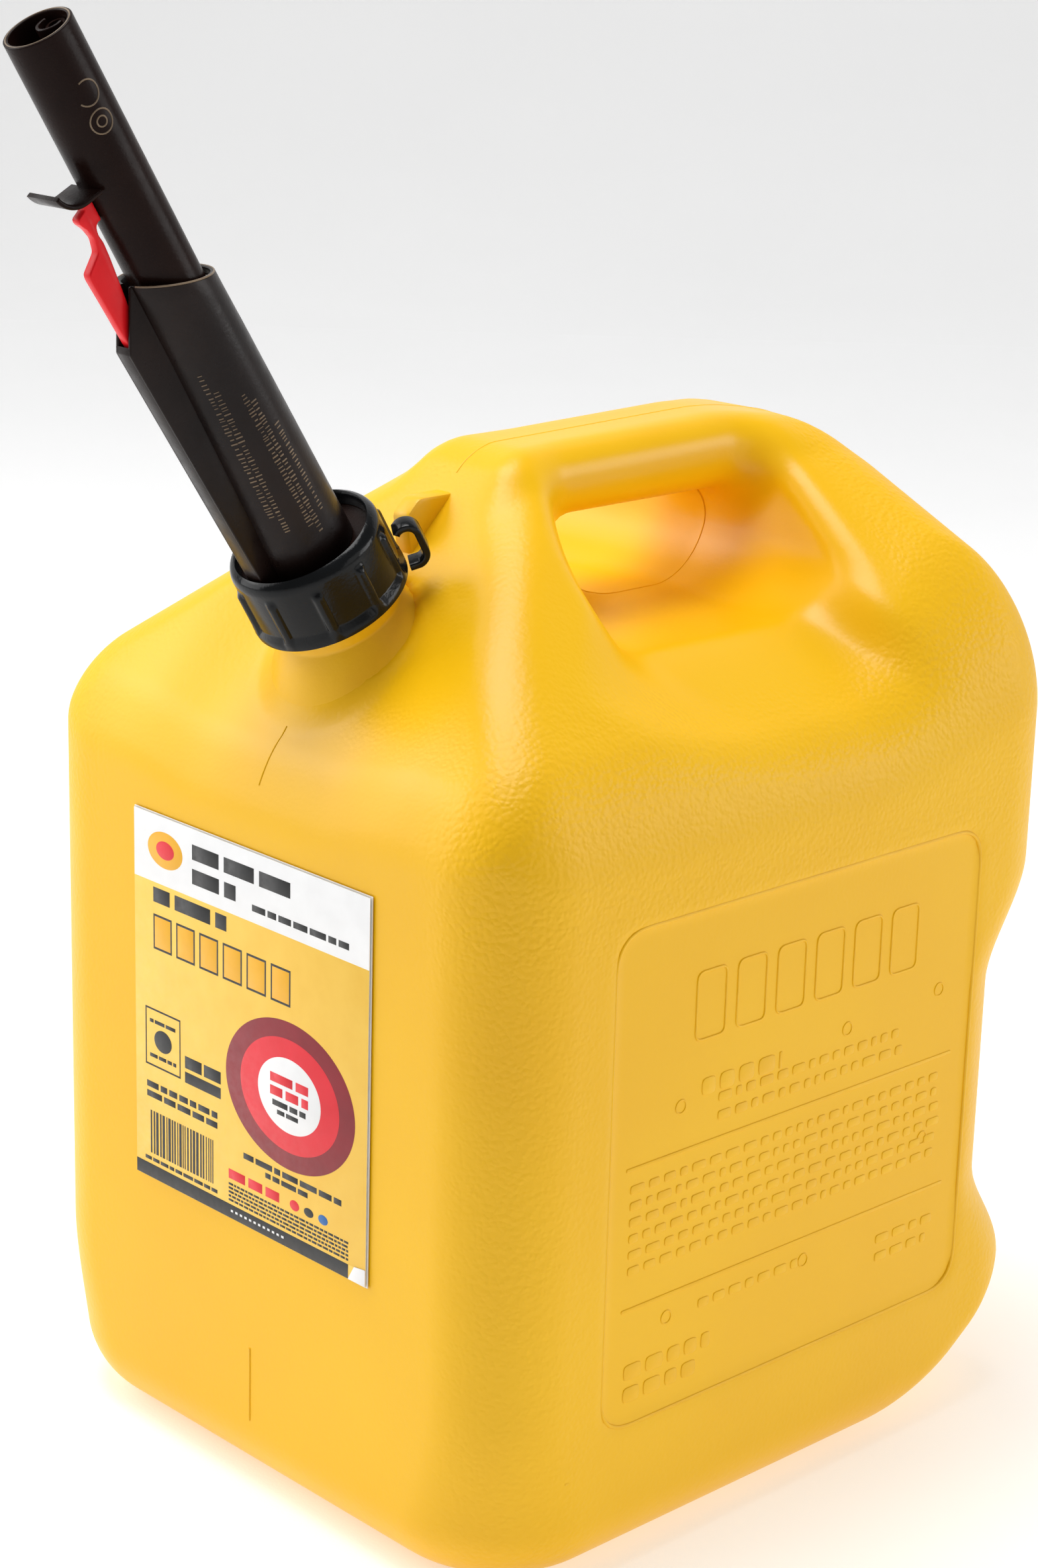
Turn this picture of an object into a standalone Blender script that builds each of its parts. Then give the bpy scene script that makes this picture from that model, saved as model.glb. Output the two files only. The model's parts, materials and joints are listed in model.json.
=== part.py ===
"""A 20 litre blow-moulded fuel can with a sliding, child-resistant pouring spout.

Metres, +Z up. The origin is the middle of the base, the label face looks along -Y and the handle
runs along Y.
The spout is built upright in a frame of its own, which one parent empty tilts towards -Y on the tank's neck.
"""

import math

import bmesh
import bpy
import numpy as np
from mathutils import Matrix, Vector

MM = 0.001

# Tank: every tank size below is a share of its depth, front to back.
DEPTH = 0.285
HALF_WIDTH = 0.4455
HALF_DEPTH = 0.5
WALL = 3.2 * MM
OUTER_CELL = 7.0 * MM
INNER_CELL = 11.0 * MM
OUTER_KEPT = 0.11
INNER_KEPT = 0.25

# Spout frame: its origin is the middle of the collar's lower rim.
SPOUT_ORIGIN = Vector((0, -0.378, 1.143)) * DEPTH
SPOUT_TILT = math.radians(31.3)

# Spout sizes: radii and heights along the spout axis.
GAP = 0.3 * MM
NECK_RADIUS = 22.0 * MM
NECK_BORE = 18.0 * MM
NECK_TOP = 14.0 * MM
THREAD_PITCH = 6.0 * MM
THREAD_TURNS = 1.5
COLLAR_RADIUS = 27.0 * MM
COLLAR_RIM_RADIUS = 28.2 * MM
COLLAR_TOP = 27.0 * MM
COLLAR_RIBS = 10
LOCK_TAB_ANGLE = math.radians(52)
HOUSING_BOTTOM = 21.4 * MM
HOUSING_BOTTOM_RADIUS = 17.0 * MM
HOUSING_TOP = 133.6 * MM
HOUSING_TOP_RADIUS = 14.8 * MM
HOUSING_BORE = 13.2 * MM
HOUSING_RIM_SLANT = 0.45
CHANNEL_HALF_WIDTH = 3.9 * MM
GROOVE_HALF_WIDTH = 2.5 * MM
GROOVE_BOTTOM = 84.0 * MM
NOZZLE_RADIUS = 11.4 * MM
NOZZLE_BORE = 9.7 * MM
NOZZLE_BOTTOM = 68.0 * MM
NOZZLE_TIP = 224.4 * MM
PISTON_LENGTH = 16.0 * MM
O_RING_DROPS = (5.0 * MM, 11.0 * MM)
LATCH_THICKNESS = 3.8 * MM

COLOURS = {
    "tank_yellow": ((0.90, 0.50, 0.012), 0.42, 0.0),
    "spout_black": ((0.018, 0.012, 0.010), 0.32, 0.0),
    "collar_black": ((0.010, 0.010, 0.011), 0.22, 0.0),
    "latch_red": ((0.72, 0.012, 0.018), 0.35, 0.0),
    "seal_rubber": ((0.020, 0.020, 0.022), 0.60, 0.0),
    "natural_plastic": ((0.62, 0.60, 0.54), 0.45, 0.0),
    "spring_steel": ((0.55, 0.56, 0.58), 0.28, 1.0),
    "screen_steel": ((0.48, 0.49, 0.50), 0.38, 1.0),
    "label_film": ((0.88, 0.86, 0.80), 0.38, 0.0),
}


def clear_scene():
    for obj in list(bpy.data.objects):
        bpy.data.objects.remove(obj, do_unlink=True)


def collection_named(name):
    group = bpy.data.collections.new(name)
    bpy.context.scene.collection.children.link(group)
    return group


def make_material(name):
    colour, roughness, metallic = COLOURS[name]
    material = bpy.data.materials.new(name)
    material.use_nodes = True
    shader = material.node_tree.nodes["Principled BSDF"]
    shader.inputs["Base Color"].default_value = (*colour, 1)
    shader.inputs["Roughness"].default_value = roughness
    shader.inputs["Metallic"].default_value = metallic
    material.diffuse_color = (*colour, 1)
    return material


clear_scene()
PARTS = collection_named("safety_gas_can")
CUTTERS = collection_named("cutters")
MATERIALS = {name: make_material(name) for name in COLOURS}


# ---------------------------------------------------------------- building blocks


def link(obj, group=PARTS, parent=None):
    group.objects.link(obj)
    obj.parent = parent
    if group is CUTTERS:
        obj.hide_render = True
        obj.display_type = "WIRE"
    return obj


def finish(obj, material):
    """Gives the piece a material of its own and smooth shading with sharp edges kept."""
    own = MATERIALS[material].copy()
    own.name = obj.name
    obj.data.materials.clear()
    obj.data.materials.append(own)
    obj.data.shade_smooth()
    obj.data.set_sharp_from_angle(angle=math.radians(35))
    return obj


def mesh_object(name, mesh_data, group=PARTS, parent=None):
    """An object from a bmesh, welded and facing out."""
    bmesh.ops.remove_doubles(mesh_data, verts=mesh_data.verts, dist=1e-6)
    bmesh.ops.recalc_face_normals(mesh_data, faces=mesh_data.faces)
    mesh = bpy.data.meshes.new(name)
    mesh_data.to_mesh(mesh)
    mesh_data.free()
    return link(bpy.data.objects.new(name, mesh), group, parent)


def as_mesh(obj, group, parent):
    """Replaces a curve or a modified object with its evaluated mesh in the same place."""
    name = obj.name
    graph = bpy.context.evaluated_depsgraph_get()
    mesh = bpy.data.meshes.new_from_object(obj.evaluated_get(graph))
    local = obj.matrix_basis.copy()
    bpy.data.objects.remove(obj, do_unlink=True)
    welded = bmesh.new()
    welded.from_mesh(mesh)
    bpy.data.meshes.remove(mesh)
    made = mesh_object(name, welded, group, parent)
    made.matrix_basis = local
    return made


def turned(name, profile, steps=48, group=PARTS, parent=None):
    """A ring turned from a closed profile of (radius, height), outer side first, top to bottom."""
    mesh = bpy.data.meshes.new(name)
    count = len(profile)
    mesh.from_pydata(
        [(radius, 0, height) for radius, height in profile],
        [(i, (i + 1) % count) for i in range(count)],
        [],
    )
    obj = link(bpy.data.objects.new(name, mesh), group, parent)
    screw = obj.modifiers.new("turn", "SCREW")
    screw.steps = steps
    screw.render_steps = steps
    screw.use_merge_vertices = True
    screw.merge_threshold = 1e-5
    return as_mesh(obj, group, parent)


def rod(name, radius, low, high, steps=24, group=PARTS, parent=None):
    shape = bmesh.new()
    bmesh.ops.create_cone(
        shape,
        cap_ends=True,
        segments=steps,
        radius1=radius,
        radius2=radius,
        depth=high - low,
        matrix=Matrix.Translation((0, 0, (low + high) / 2)),
    )
    return mesh_object(name, shape, group, parent)


def box(name, low, high, group=PARTS, parent=None):
    low = Vector(low)
    high = Vector(high)
    shape = bmesh.new()
    bmesh.ops.create_cube(
        shape,
        size=1,
        matrix=Matrix.Translation((low + high) / 2) @ Matrix.Diagonal((*(high - low), 1)),
    )
    return mesh_object(name, shape, group, parent)


def flat_piece(name, outline, thickness, matrix, group=PARTS, parent=None):
    """A plate cut to an outline of (across, up) points, extruded evenly about its middle plane."""
    curve = bpy.data.curves.new(name, "CURVE")
    curve.dimensions = "2D"
    curve.fill_mode = "BOTH"
    curve.extrude = thickness / 2
    spline = curve.splines.new("POLY")
    spline.points.add(len(outline) - 1)
    for point, (across, up) in zip(spline.points, outline):
        point.co = (across, up, 0, 1)
    spline.use_cyclic_u = True
    obj = link(bpy.data.objects.new(name, curve), group, parent)
    obj.matrix_basis = matrix
    made = as_mesh(obj, group, parent)
    made.data.transform(matrix)
    made.matrix_basis = Matrix.Identity(4)
    return made


def combine(target, other, operation):
    """A Boolean whose second shape moves to the cutters."""
    for group in list(other.users_collection):
        group.objects.unlink(other)
    CUTTERS.objects.link(other)
    other.hide_render = True
    other.display_type = "WIRE"
    step = target.modifiers.new(operation.lower(), "BOOLEAN")
    step.operation = operation
    step.solver = "EXACT"
    step.object = other
    return target


def arc(centre, radius, start, end, count):
    """Points of an arc in degrees, both ends included."""
    points = []
    for i in range(count):
        angle = math.radians(start + (end - start) * i / (count - 1))
        points.append((centre[0] + radius * math.cos(angle), centre[1] + radius * math.sin(angle)))
    return points


def mm_points(points):
    return [(across * MM, up * MM) for across, up in points]


# Plates that stand in the can's middle plane: across is towards the front, up is along the spout.
MIDDLE_PLANE = Matrix(((0, 0, -1, 0), (-1, 0, 0, 0), (0, 1, 0, 0), (0, 0, 0, 1)))


# ---------------------------------------------------------------- tank


def round_max(a, b, radius):
    """The overlap of two half-spaces, given as distances, with its edge rounded."""
    return np.minimum(np.maximum(a, b), -radius) + np.hypot(
        np.maximum(a + radius, 0), np.maximum(b + radius, 0)
    )


def round_min(a, b, radius):
    return -round_max(-a, -b, radius)


def blend(value, start, end):
    t = np.clip((value - start) / (end - start), 0, 1)
    return t * t * (3 - 2 * t)


def slope(rise, run, steepness):
    """Distance above a plane that rises by steepness for each unit of run."""
    return (rise - steepness * run) / math.sqrt(1 + steepness**2)


def tank_walls(across, y, z):
    """The upright walls: front corners that widen towards the base, and a grip recess low at the rear."""
    recess = 0.0667 * blend(z, 0.757, 0.598) * blend(z, 0.188, 0.339)
    front = round_max(across - HALF_WIDTH, -HALF_DEPTH - y, 0.116 + 0.056 * blend(z, 0.246, 0))
    return round_max(front, y - HALF_DEPTH + recess, 0.118)


def side_slopes(across, y, z):
    """The roof's two side slopes, which are fuller at the rear, and the share of that fullness."""
    rear_share = blend(y, 0.120, 0.419)
    steepness = 0.836 - 0.390 * rear_share
    rise = z - 0.975 - 0.150 * rear_share
    side = (rise - steepness * (HALF_WIDTH - across)) / np.sqrt(1 + steepness**2)
    return side, rear_share


def tank_top(across, y, z):
    """The front slope, dished where the neck stands, the handle's ridge and the rear slope."""
    dish = 0.022 * (1 - blend(across, 0.10, 0.26))
    front = slope(z - 1.014 + dish, y + 0.446, 1.044)
    ridge = slope(z - 1.3026, y, 0.0215)
    rear = slope(z - 1.330, y - 0.288, -0.417)
    return round_max(round_max(front, ridge, 0.025), rear, 0.053)


def hand_hollow(across, y, z):
    """Two scoops that meet in the middle, negative inside, and how far the floor outreaches the end walls."""
    floor = 1.077 - z
    swing = across - 0.235
    front = (-0.161 + 2.7 * swing**2 - y) / np.sqrt(1 + (5.4 * swing) ** 2)
    rear = slope(y + 0.08 * across - 0.264, z - 1.15, 0.15)
    ends = np.maximum(front, rear)
    return round_max(floor, ends, 0.08), floor - ends


def handle_bar(across, y, z):
    """The handle below the ridge: it has no top of its own, and its ends lie inside the body."""
    section = round_max(across - 0.083, 1.2065 - z, 0.046)
    return np.maximum(section, np.abs(y - 0.08) - 0.27)


def tank_distance(x, y, z):
    """Signed distance, near enough, to the tank's outer face, in shares of the depth."""
    across = np.sqrt(x * x + 2e-5)
    side, rear_share = side_slopes(across, y, z)
    body = round_max(tank_walls(across, y, z), side, 0.069 + 0.099 * rear_share)
    body = round_max(body, -0.0015 - z, 0.089)
    body = round_max(body, slope(-z, 0.267 - y, 0.694), 0.052)
    hollow, floor_lead = hand_hollow(across, y, z)
    fading = 0.22 + 0.10 * blend(y, -0.05, 0.15)
    end_rim = 0.028 + 0.12 * blend(across, fading, fading + 0.12)
    floor_rim = 0.03 + 0.12 * blend(across, 0.15, 0.38)
    rim = end_rim + (floor_rim - end_rim) * blend(floor_lead, -0.05, 0.05)
    body = round_max(body, -hollow, rim)
    body = round_min(body, handle_bar(across, y, z), 0.025 + 0.035 * blend(y, 0, 0.2))
    return round_max(body, tank_top(across, y, z), 0.044)


def sampled_surface(name, field, low, high, cell, group=PARTS):
    """The closed surface where a field is zero, one point to each cell that the surface crosses.

    Its faces are made here because no primitive or modifier gives a blown form whose roundings change
    from place to place.
    """
    axes = [np.arange(a, b + cell, cell) for a, b in zip(low, high)]
    value = field(*np.meshgrid(*axes, indexing="ij"))
    inside = value < 0
    cells = tuple(n - 1 for n in value.shape)
    total = np.zeros((*cells, 3))
    crossings = np.zeros(cells)
    for axis in range(3):
        others = [a for a in range(3) if a != axis]
        for shift in ((0, 0), (0, 1), (1, 0), (1, 1)):
            begin = [slice(0, n) for n in cells]
            for other, offset in zip(others, shift):
                begin[other] = slice(offset, cells[other] + offset)
            end = list(begin)
            end[axis] = slice(1, cells[axis] + 1)
            first = value[tuple(begin)]
            second = value[tuple(end)]
            crossed = (first < 0) != (second < 0)
            share = np.where(crossed, first / np.where(crossed, first - second, 1), 0)
            total[..., axis] += share
            for other, offset in zip(others, shift):
                total[..., other] += crossed * offset
            crossings += crossed
    used = crossings > 0
    number = np.full(cells, -1)
    number[used] = np.arange(used.sum())
    place = np.argwhere(used) + total[used] / crossings[used][:, None]
    points = np.array(low) + place * cell
    faces = []
    for axis in range(3):
        one, two = [a for a in range(3) if a != axis]
        step = np.eye(3, dtype=int)
        begin = np.take(inside, range(cells[axis]), axis)
        end = np.take(inside, range(1, cells[axis] + 1), axis)
        corner = np.argwhere(begin != end)
        leaving = begin[tuple(corner.T)]
        ring = []
        for a, b in ((0, 0), (1, 0), (1, 1), (0, 1)):
            ring.append(number[tuple((corner - a * step[one] - b * step[two]).T)])
        quads = np.stack(ring, axis=1)
        turn = leaving if axis != 1 else ~leaving
        quads[~turn] = quads[~turn][:, ::-1]
        faces.append(quads)
    mesh = bpy.data.meshes.new(name)
    mesh.from_pydata(points.tolist(), [], np.concatenate(faces).tolist())
    return link(bpy.data.objects.new(name, mesh), group)


def tank_shell(name, inset, cell, kept, group):
    """The tank's surface moved in by an inset, thinned to the share of triangles kept."""
    low = (-0.62 * DEPTH, -0.58 * DEPTH, -0.06 * DEPTH)
    high = (0.62 * DEPTH, 0.58 * DEPTH, 1.40 * DEPTH)

    def field(x, y, z):
        return tank_distance(x / DEPTH, y / DEPTH, z / DEPTH) * DEPTH + inset

    shell = sampled_surface(name, field, low, high, cell, group)
    thin = shell.modifiers.new("thin", "DECIMATE")
    thin.ratio = kept
    return as_mesh(shell, group, None)


def neck_solid(parent):
    """The neck, flaring into a cone below the collar, which runs down into the front slope."""
    cone_top = 20.2 * MM
    profile = [
        (NECK_RADIUS, NECK_TOP),
        (NECK_RADIUS, -7.5 * MM),
        (39.0 * MM, -31.3 * MM),
        (39.0 * MM, -33.0 * MM),
        (cone_top, -33.0 * MM),
        (cone_top, -20.0 * MM),
        (NECK_BORE, -16.0 * MM),
        (NECK_BORE, NECK_TOP),
    ]
    return turned("neck", profile, 36, CUTTERS, parent)


def thread_bead(parent):
    """The neck's male thread: one round bead along a helix."""
    curve = bpy.data.curves.new("thread_bead", "CURVE")
    curve.dimensions = "3D"
    curve.bevel_depth = 1.5 * MM
    curve.bevel_resolution = 1
    curve.use_fill_caps = True
    spline = curve.splines.new("POLY")
    count = int(24 * THREAD_TURNS) + 1
    spline.points.add(count - 1)
    for i, point in enumerate(spline.points):
        turn = i / 24
        angle = 2 * math.pi * turn
        height = 1.5 * MM + THREAD_PITCH * turn
        radius = NECK_RADIUS + 0.2 * MM
        point.co = (radius * math.cos(angle), radius * math.sin(angle), height, 1)
    obj = link(bpy.data.objects.new("thread_bead", curve), CUTTERS, parent)
    return as_mesh(obj, CUTTERS, parent)


def ratchet_fin():
    """The gusset behind the neck that the collar's lock tab catches on."""
    share = ((-0.185, 1.248), (-0.252, 1.248), (-0.272, 1.228), (-0.262, 1.165), (-0.20, 1.20))
    outline = [(-y * DEPTH, z * DEPTH) for y, z in share]
    return flat_piece("ratchet_fin", outline, 8.0 * MM, MIDDLE_PLANE, CUTTERS)


def build_tank(spout):
    tank = tank_shell("tank_body", 0, OUTER_CELL, OUTER_KEPT, PARTS)
    combine(tank, ratchet_fin(), "UNION")
    combine(tank, neck_solid(spout), "UNION")
    combine(tank, tank_shell("tank_inside", WALL, INNER_CELL, INNER_KEPT, CUTTERS), "DIFFERENCE")
    combine(tank, thread_bead(spout), "UNION")
    bore = rod("neck_bore", NECK_BORE, -60.0 * MM, NECK_TOP + 3 * MM, 40, CUTTERS, spout)
    combine(tank, bore, "DIFFERENCE")
    below = box("below_base", (-DEPTH, -DEPTH, -0.1 * DEPTH), (DEPTH, DEPTH, 0), CUTTERS)
    combine(tank, below, "DIFFERENCE")
    finish(tank, "tank_yellow")


# ---------------------------------------------------------------- flame arrester


def build_arrester(spout):
    """A slotted cup that hangs in the neck, lined with a fine screen."""
    flange_low = NECK_TOP + GAP
    flange_top = flange_low + 1.6 * MM
    cup_radius = NECK_BORE - 0.7 * MM
    cup_bore = cup_radius - 1.5 * MM
    cup_floor = -52.0 * MM
    profile = [
        (NECK_RADIUS, flange_top),
        (NECK_RADIUS, flange_low),
        (cup_radius, flange_low),
        (cup_radius, cup_floor),
        (4.0 * MM, cup_floor),
        (4.0 * MM, cup_floor + 1.5 * MM),
        (cup_bore, cup_floor + 1.5 * MM),
        (cup_bore, flange_top),
    ]
    frame = turned("flame_arrester_frame", profile, 24, parent=spout)
    slots = bmesh.new()
    for row in (-44.0, -20.0):
        for i in range(3):
            bmesh.ops.create_cube(
                slots,
                size=1,
                matrix=Matrix.Rotation(math.pi * i / 3, 4, "Z")
                @ Matrix.Translation((0, 0, (row + 7.0) * MM))
                @ Matrix.Diagonal((3 * cup_radius, 9.0 * MM, 19.0 * MM, 1)),
            )
    cutter = mesh_object("arrester_slots", slots, CUTTERS, spout)
    combine(frame, cutter, "DIFFERENCE")
    frame.modifiers["difference"].use_self = True
    finish(frame, "natural_plastic")
    outer = cup_bore - GAP
    inner = outer - 0.5 * MM
    floor = cup_floor + 1.5 * MM + GAP
    wall = [
        (outer, 12.0 * MM),
        (outer, floor),
        (3.0 * MM, floor),
        (3.0 * MM, floor + 0.5 * MM),
        (inner, floor + 0.5 * MM),
        (inner, 12.0 * MM),
    ]
    finish(turned("flame_arrester_screen", wall, 24, parent=spout), "screen_steel")


# ---------------------------------------------------------------- collar


def build_collar(spout):
    """The threaded ring: a rim at the foot, grip ribs and a rounded shoulder over the spout's flange."""
    bore = 24.9 * MM
    lip_bore = 23.4 * MM
    shoulder = arc((COLLAR_RADIUS - 4.5 * MM, COLLAR_TOP - 4.5 * MM), 4.5 * MM, 90, 0, 6)
    profile = [
        (lip_bore, COLLAR_TOP - 1.2 * MM),
        (lip_bore + 0.6 * MM, COLLAR_TOP - 0.2 * MM),
        *[(max(radius, lip_bore + 1.4 * MM), height) for radius, height in shoulder],
        (COLLAR_RADIUS, 3.4 * MM),
        (COLLAR_RIM_RADIUS, 2.8 * MM),
        (COLLAR_RIM_RADIUS, 0.5 * MM),
        (COLLAR_RIM_RADIUS - 0.5 * MM, 0),
        (bore, 0),
        (bore, HOUSING_BOTTOM),
        (lip_bore, HOUSING_BOTTOM),
    ]
    collar = turned("collar", dedupe(profile), 40, parent=spout)
    ribs = bmesh.new()
    for i in range(COLLAR_RIBS):
        angle = 2 * math.pi * (i + 0.5) / COLLAR_RIBS + LOCK_TAB_ANGLE
        place = Matrix.Rotation(angle, 4, "Z") @ Matrix.Translation((COLLAR_RADIUS - 0.4 * MM, 0, 0))
        bmesh.ops.create_cone(
            ribs,
            cap_ends=True,
            segments=6,
            radius1=1.7 * MM,
            radius2=1.7 * MM,
            depth=16.6 * MM,
            matrix=place @ Matrix.Translation((0, 0, 10.6 * MM)),
        )
    combine(collar, mesh_object("collar_ribs", ribs, CUTTERS, spout), "UNION")
    finish(collar, "collar_black")


def dedupe(profile):
    """Drops points that repeat the one before."""
    kept = [profile[0]]
    for point in profile[1:]:
        if math.dist(point, kept[-1]) > 1e-6:
            kept.append(point)
    return kept


def ribbon(path, thickness):
    """The outline of a band of even thickness along a path of (across, up) points."""
    left = []
    right = []
    for i, (across, up) in enumerate(path):
        before = path[max(i - 1, 0)]
        after = path[min(i + 1, len(path) - 1)]
        length = math.dist(before, after)
        normal = ((before[1] - after[1]) / length, (after[0] - before[0]) / length)
        left.append((across + normal[0] * thickness / 2, up + normal[1] * thickness / 2))
        right.append((across - normal[0] * thickness / 2, up - normal[1] * thickness / 2))
    return left + right[::-1]


def build_lock_tab(spout):
    """The springy loop on the collar's rim whose free end is pressed in to let the collar turn."""
    root = [(29.9, 0.2), (32.0, 0.1)]
    belly = arc((32.0, 4.3), 4.2, -75, 0, 6)
    crown = arc((32.6, 11.2), 3.6, 0, 150, 8)
    outline = ribbon(mm_points(root + belly + crown), 2.2 * MM)
    outward = Matrix.Rotation(LOCK_TAB_ANGLE, 4, "Z")
    upright = Matrix(((1, 0, 0, 0), (0, 0, -1, 0), (0, 1, 0, 0), (0, 0, 0, 1)))
    tab = flat_piece("collar_lock_tab", outline, 7.0 * MM, outward @ upright, parent=spout)
    finish(tab, "collar_black")


# ---------------------------------------------------------------- spout base and housing


def housing_radius(height):
    share = (height - HOUSING_BOTTOM) / (HOUSING_TOP - HOUSING_BOTTOM)
    return HOUSING_BOTTOM_RADIUS + share * (HOUSING_TOP_RADIUS - HOUSING_BOTTOM_RADIUS)


def build_spout_base(spout):
    """Gasket, clamped flange ring, valve seat tube and the washer under the return spring."""
    gasket_low = NECK_TOP + 2.2 * MM
    gasket = [
        (NECK_RADIUS + 1.5 * MM, gasket_low + 1.7 * MM),
        (NECK_RADIUS + 1.5 * MM, gasket_low),
        (NECK_BORE + 0.4 * MM, gasket_low),
        (NECK_BORE + 0.4 * MM, gasket_low + 1.7 * MM),
    ]
    finish(turned("neck_gasket", gasket, 32, parent=spout), "seal_rubber")
    ring_low = gasket_low + 2.0 * MM
    ring_top = HOUSING_BOTTOM - GAP
    ring = [
        (24.6 * MM, ring_top),
        (24.6 * MM, ring_low),
        (12.6 * MM, ring_low),
        (12.6 * MM, ring_top),
    ]
    finish(turned("spout_base_ring", ring, 36, parent=spout), "spout_black")
    seat = [
        (12.3 * MM, ring_top),
        (12.3 * MM, -5.0 * MM),
        (9.6 * MM, -5.0 * MM),
        (9.6 * MM, ring_top),
    ]
    finish(turned("valve_seat_tube", seat, 24, parent=spout), "natural_plastic")
    washer = [
        (HOUSING_BORE - GAP, HOUSING_BOTTOM + 1.2 * MM),
        (HOUSING_BORE - GAP, HOUSING_BOTTOM),
        (9.8 * MM, HOUSING_BOTTOM),
        (9.8 * MM, HOUSING_BOTTOM + 1.2 * MM),
    ]
    finish(turned("spring_seat_washer", washer, 24, parent=spout), "spring_steel")


def channel_reach(height):
    """How far the latch channel's front face stands from the spout axis."""
    return 26.4 * MM - 0.034 * (126.0 * MM - height)


def channel_plate(spout, top):
    """The slab that carries the channel, from inside the tube to the channel's front face."""
    low = HOUSING_BOTTOM + 0.6 * MM
    outline = [(14.0 * MM, low), (channel_reach(low), low), (channel_reach(top), top), (14.0 * MM, top)]
    plate = flat_piece("channel", outline, 2 * CHANNEL_HALF_WIDTH, MIDDLE_PLANE, CUTTERS, spout)
    rounding = plate.modifiers.new("edges", "BEVEL")
    rounding.width = 0.9 * MM
    rounding.segments = 2
    return plate


def latch_groove(spout, top):
    """The blind groove in the channel that the latch's leg slides in."""
    wall = 1.3 * MM
    floor = 15.3 * MM
    outline = [
        (floor, GROOVE_BOTTOM),
        (channel_reach(GROOVE_BOTTOM) - wall, GROOVE_BOTTOM),
        (channel_reach(top) - wall, top),
        (floor, top),
    ]
    return flat_piece("groove", outline, 2 * GROOVE_HALF_WIDTH, MIDDLE_PLANE, CUTTERS, spout)


def latch_slot(spout, top):
    """Near the rim the groove is open to the bore, for the latch's shoulder."""
    low = Vector((-GROOVE_HALF_WIDTH + 0.05 * MM, -16.2 * MM, 106.0 * MM))
    high = Vector((GROOVE_HALF_WIDTH - 0.05 * MM, -12.0 * MM, top))
    return box("slot", low, high, CUTTERS, spout)


def build_housing(spout):
    """The outer tube with the latch channel on its front, open at the slanted top rim."""
    above = HOUSING_TOP + 12.0 * MM
    profile = [
        (housing_radius(above), above),
        (HOUSING_BOTTOM_RADIUS, HOUSING_BOTTOM),
        (HOUSING_BORE, HOUSING_BOTTOM),
        (HOUSING_BORE, above),
    ]
    housing = turned("spout_housing", profile, 40, parent=spout)
    combine(housing, channel_plate(spout, above), "UNION")
    combine(housing, latch_groove(spout, above + MM), "DIFFERENCE")
    combine(housing, latch_slot(spout, above + 2 * MM), "DIFFERENCE")
    clear_bore = rod("housing_bore", HOUSING_BORE, HOUSING_BOTTOM - MM, above + MM, 48, CUTTERS, spout)
    combine(housing, clear_bore, "DIFFERENCE")
    rim = [(-30.0, -30.0 * HOUSING_RIM_SLANT), (15.0, 15.0 * HOUSING_RIM_SLANT)]
    rim += [(28.0, -14.0), (28.0, 40.0), (-30.0, 40.0)]
    outline = [(across * MM, HOUSING_TOP + up * MM) for across, up in rim]
    rim_cut = flat_piece("rim_cut", outline, 60 * MM, MIDDLE_PLANE, CUTTERS, spout)
    combine(housing, rim_cut, "DIFFERENCE")
    finish(housing, "spout_black")
    bush_top = HOUSING_TOP - 9.0 * MM
    bush = [
        (HOUSING_BORE - GAP, bush_top),
        (HOUSING_BORE - GAP, bush_top - 14.0 * MM),
        (NOZZLE_RADIUS + GAP, bush_top - 14.0 * MM),
        (NOZZLE_RADIUS + GAP, bush_top),
    ]
    finish(turned("housing_guide_bush", bush, 32, parent=spout), "natural_plastic")


# ---------------------------------------------------------------- nozzle and valve


def seal_ring(name, radius, section, height, spout):
    """An O-ring turned from a six-sided section."""
    profile = [
        (radius + section * math.cos(angle), height + section * math.sin(angle))
        for angle in (math.pi / 6 - math.pi * i / 3 for i in range(6))
    ]
    finish(turned(name, profile, 24, parent=spout), "seal_rubber")


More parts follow.
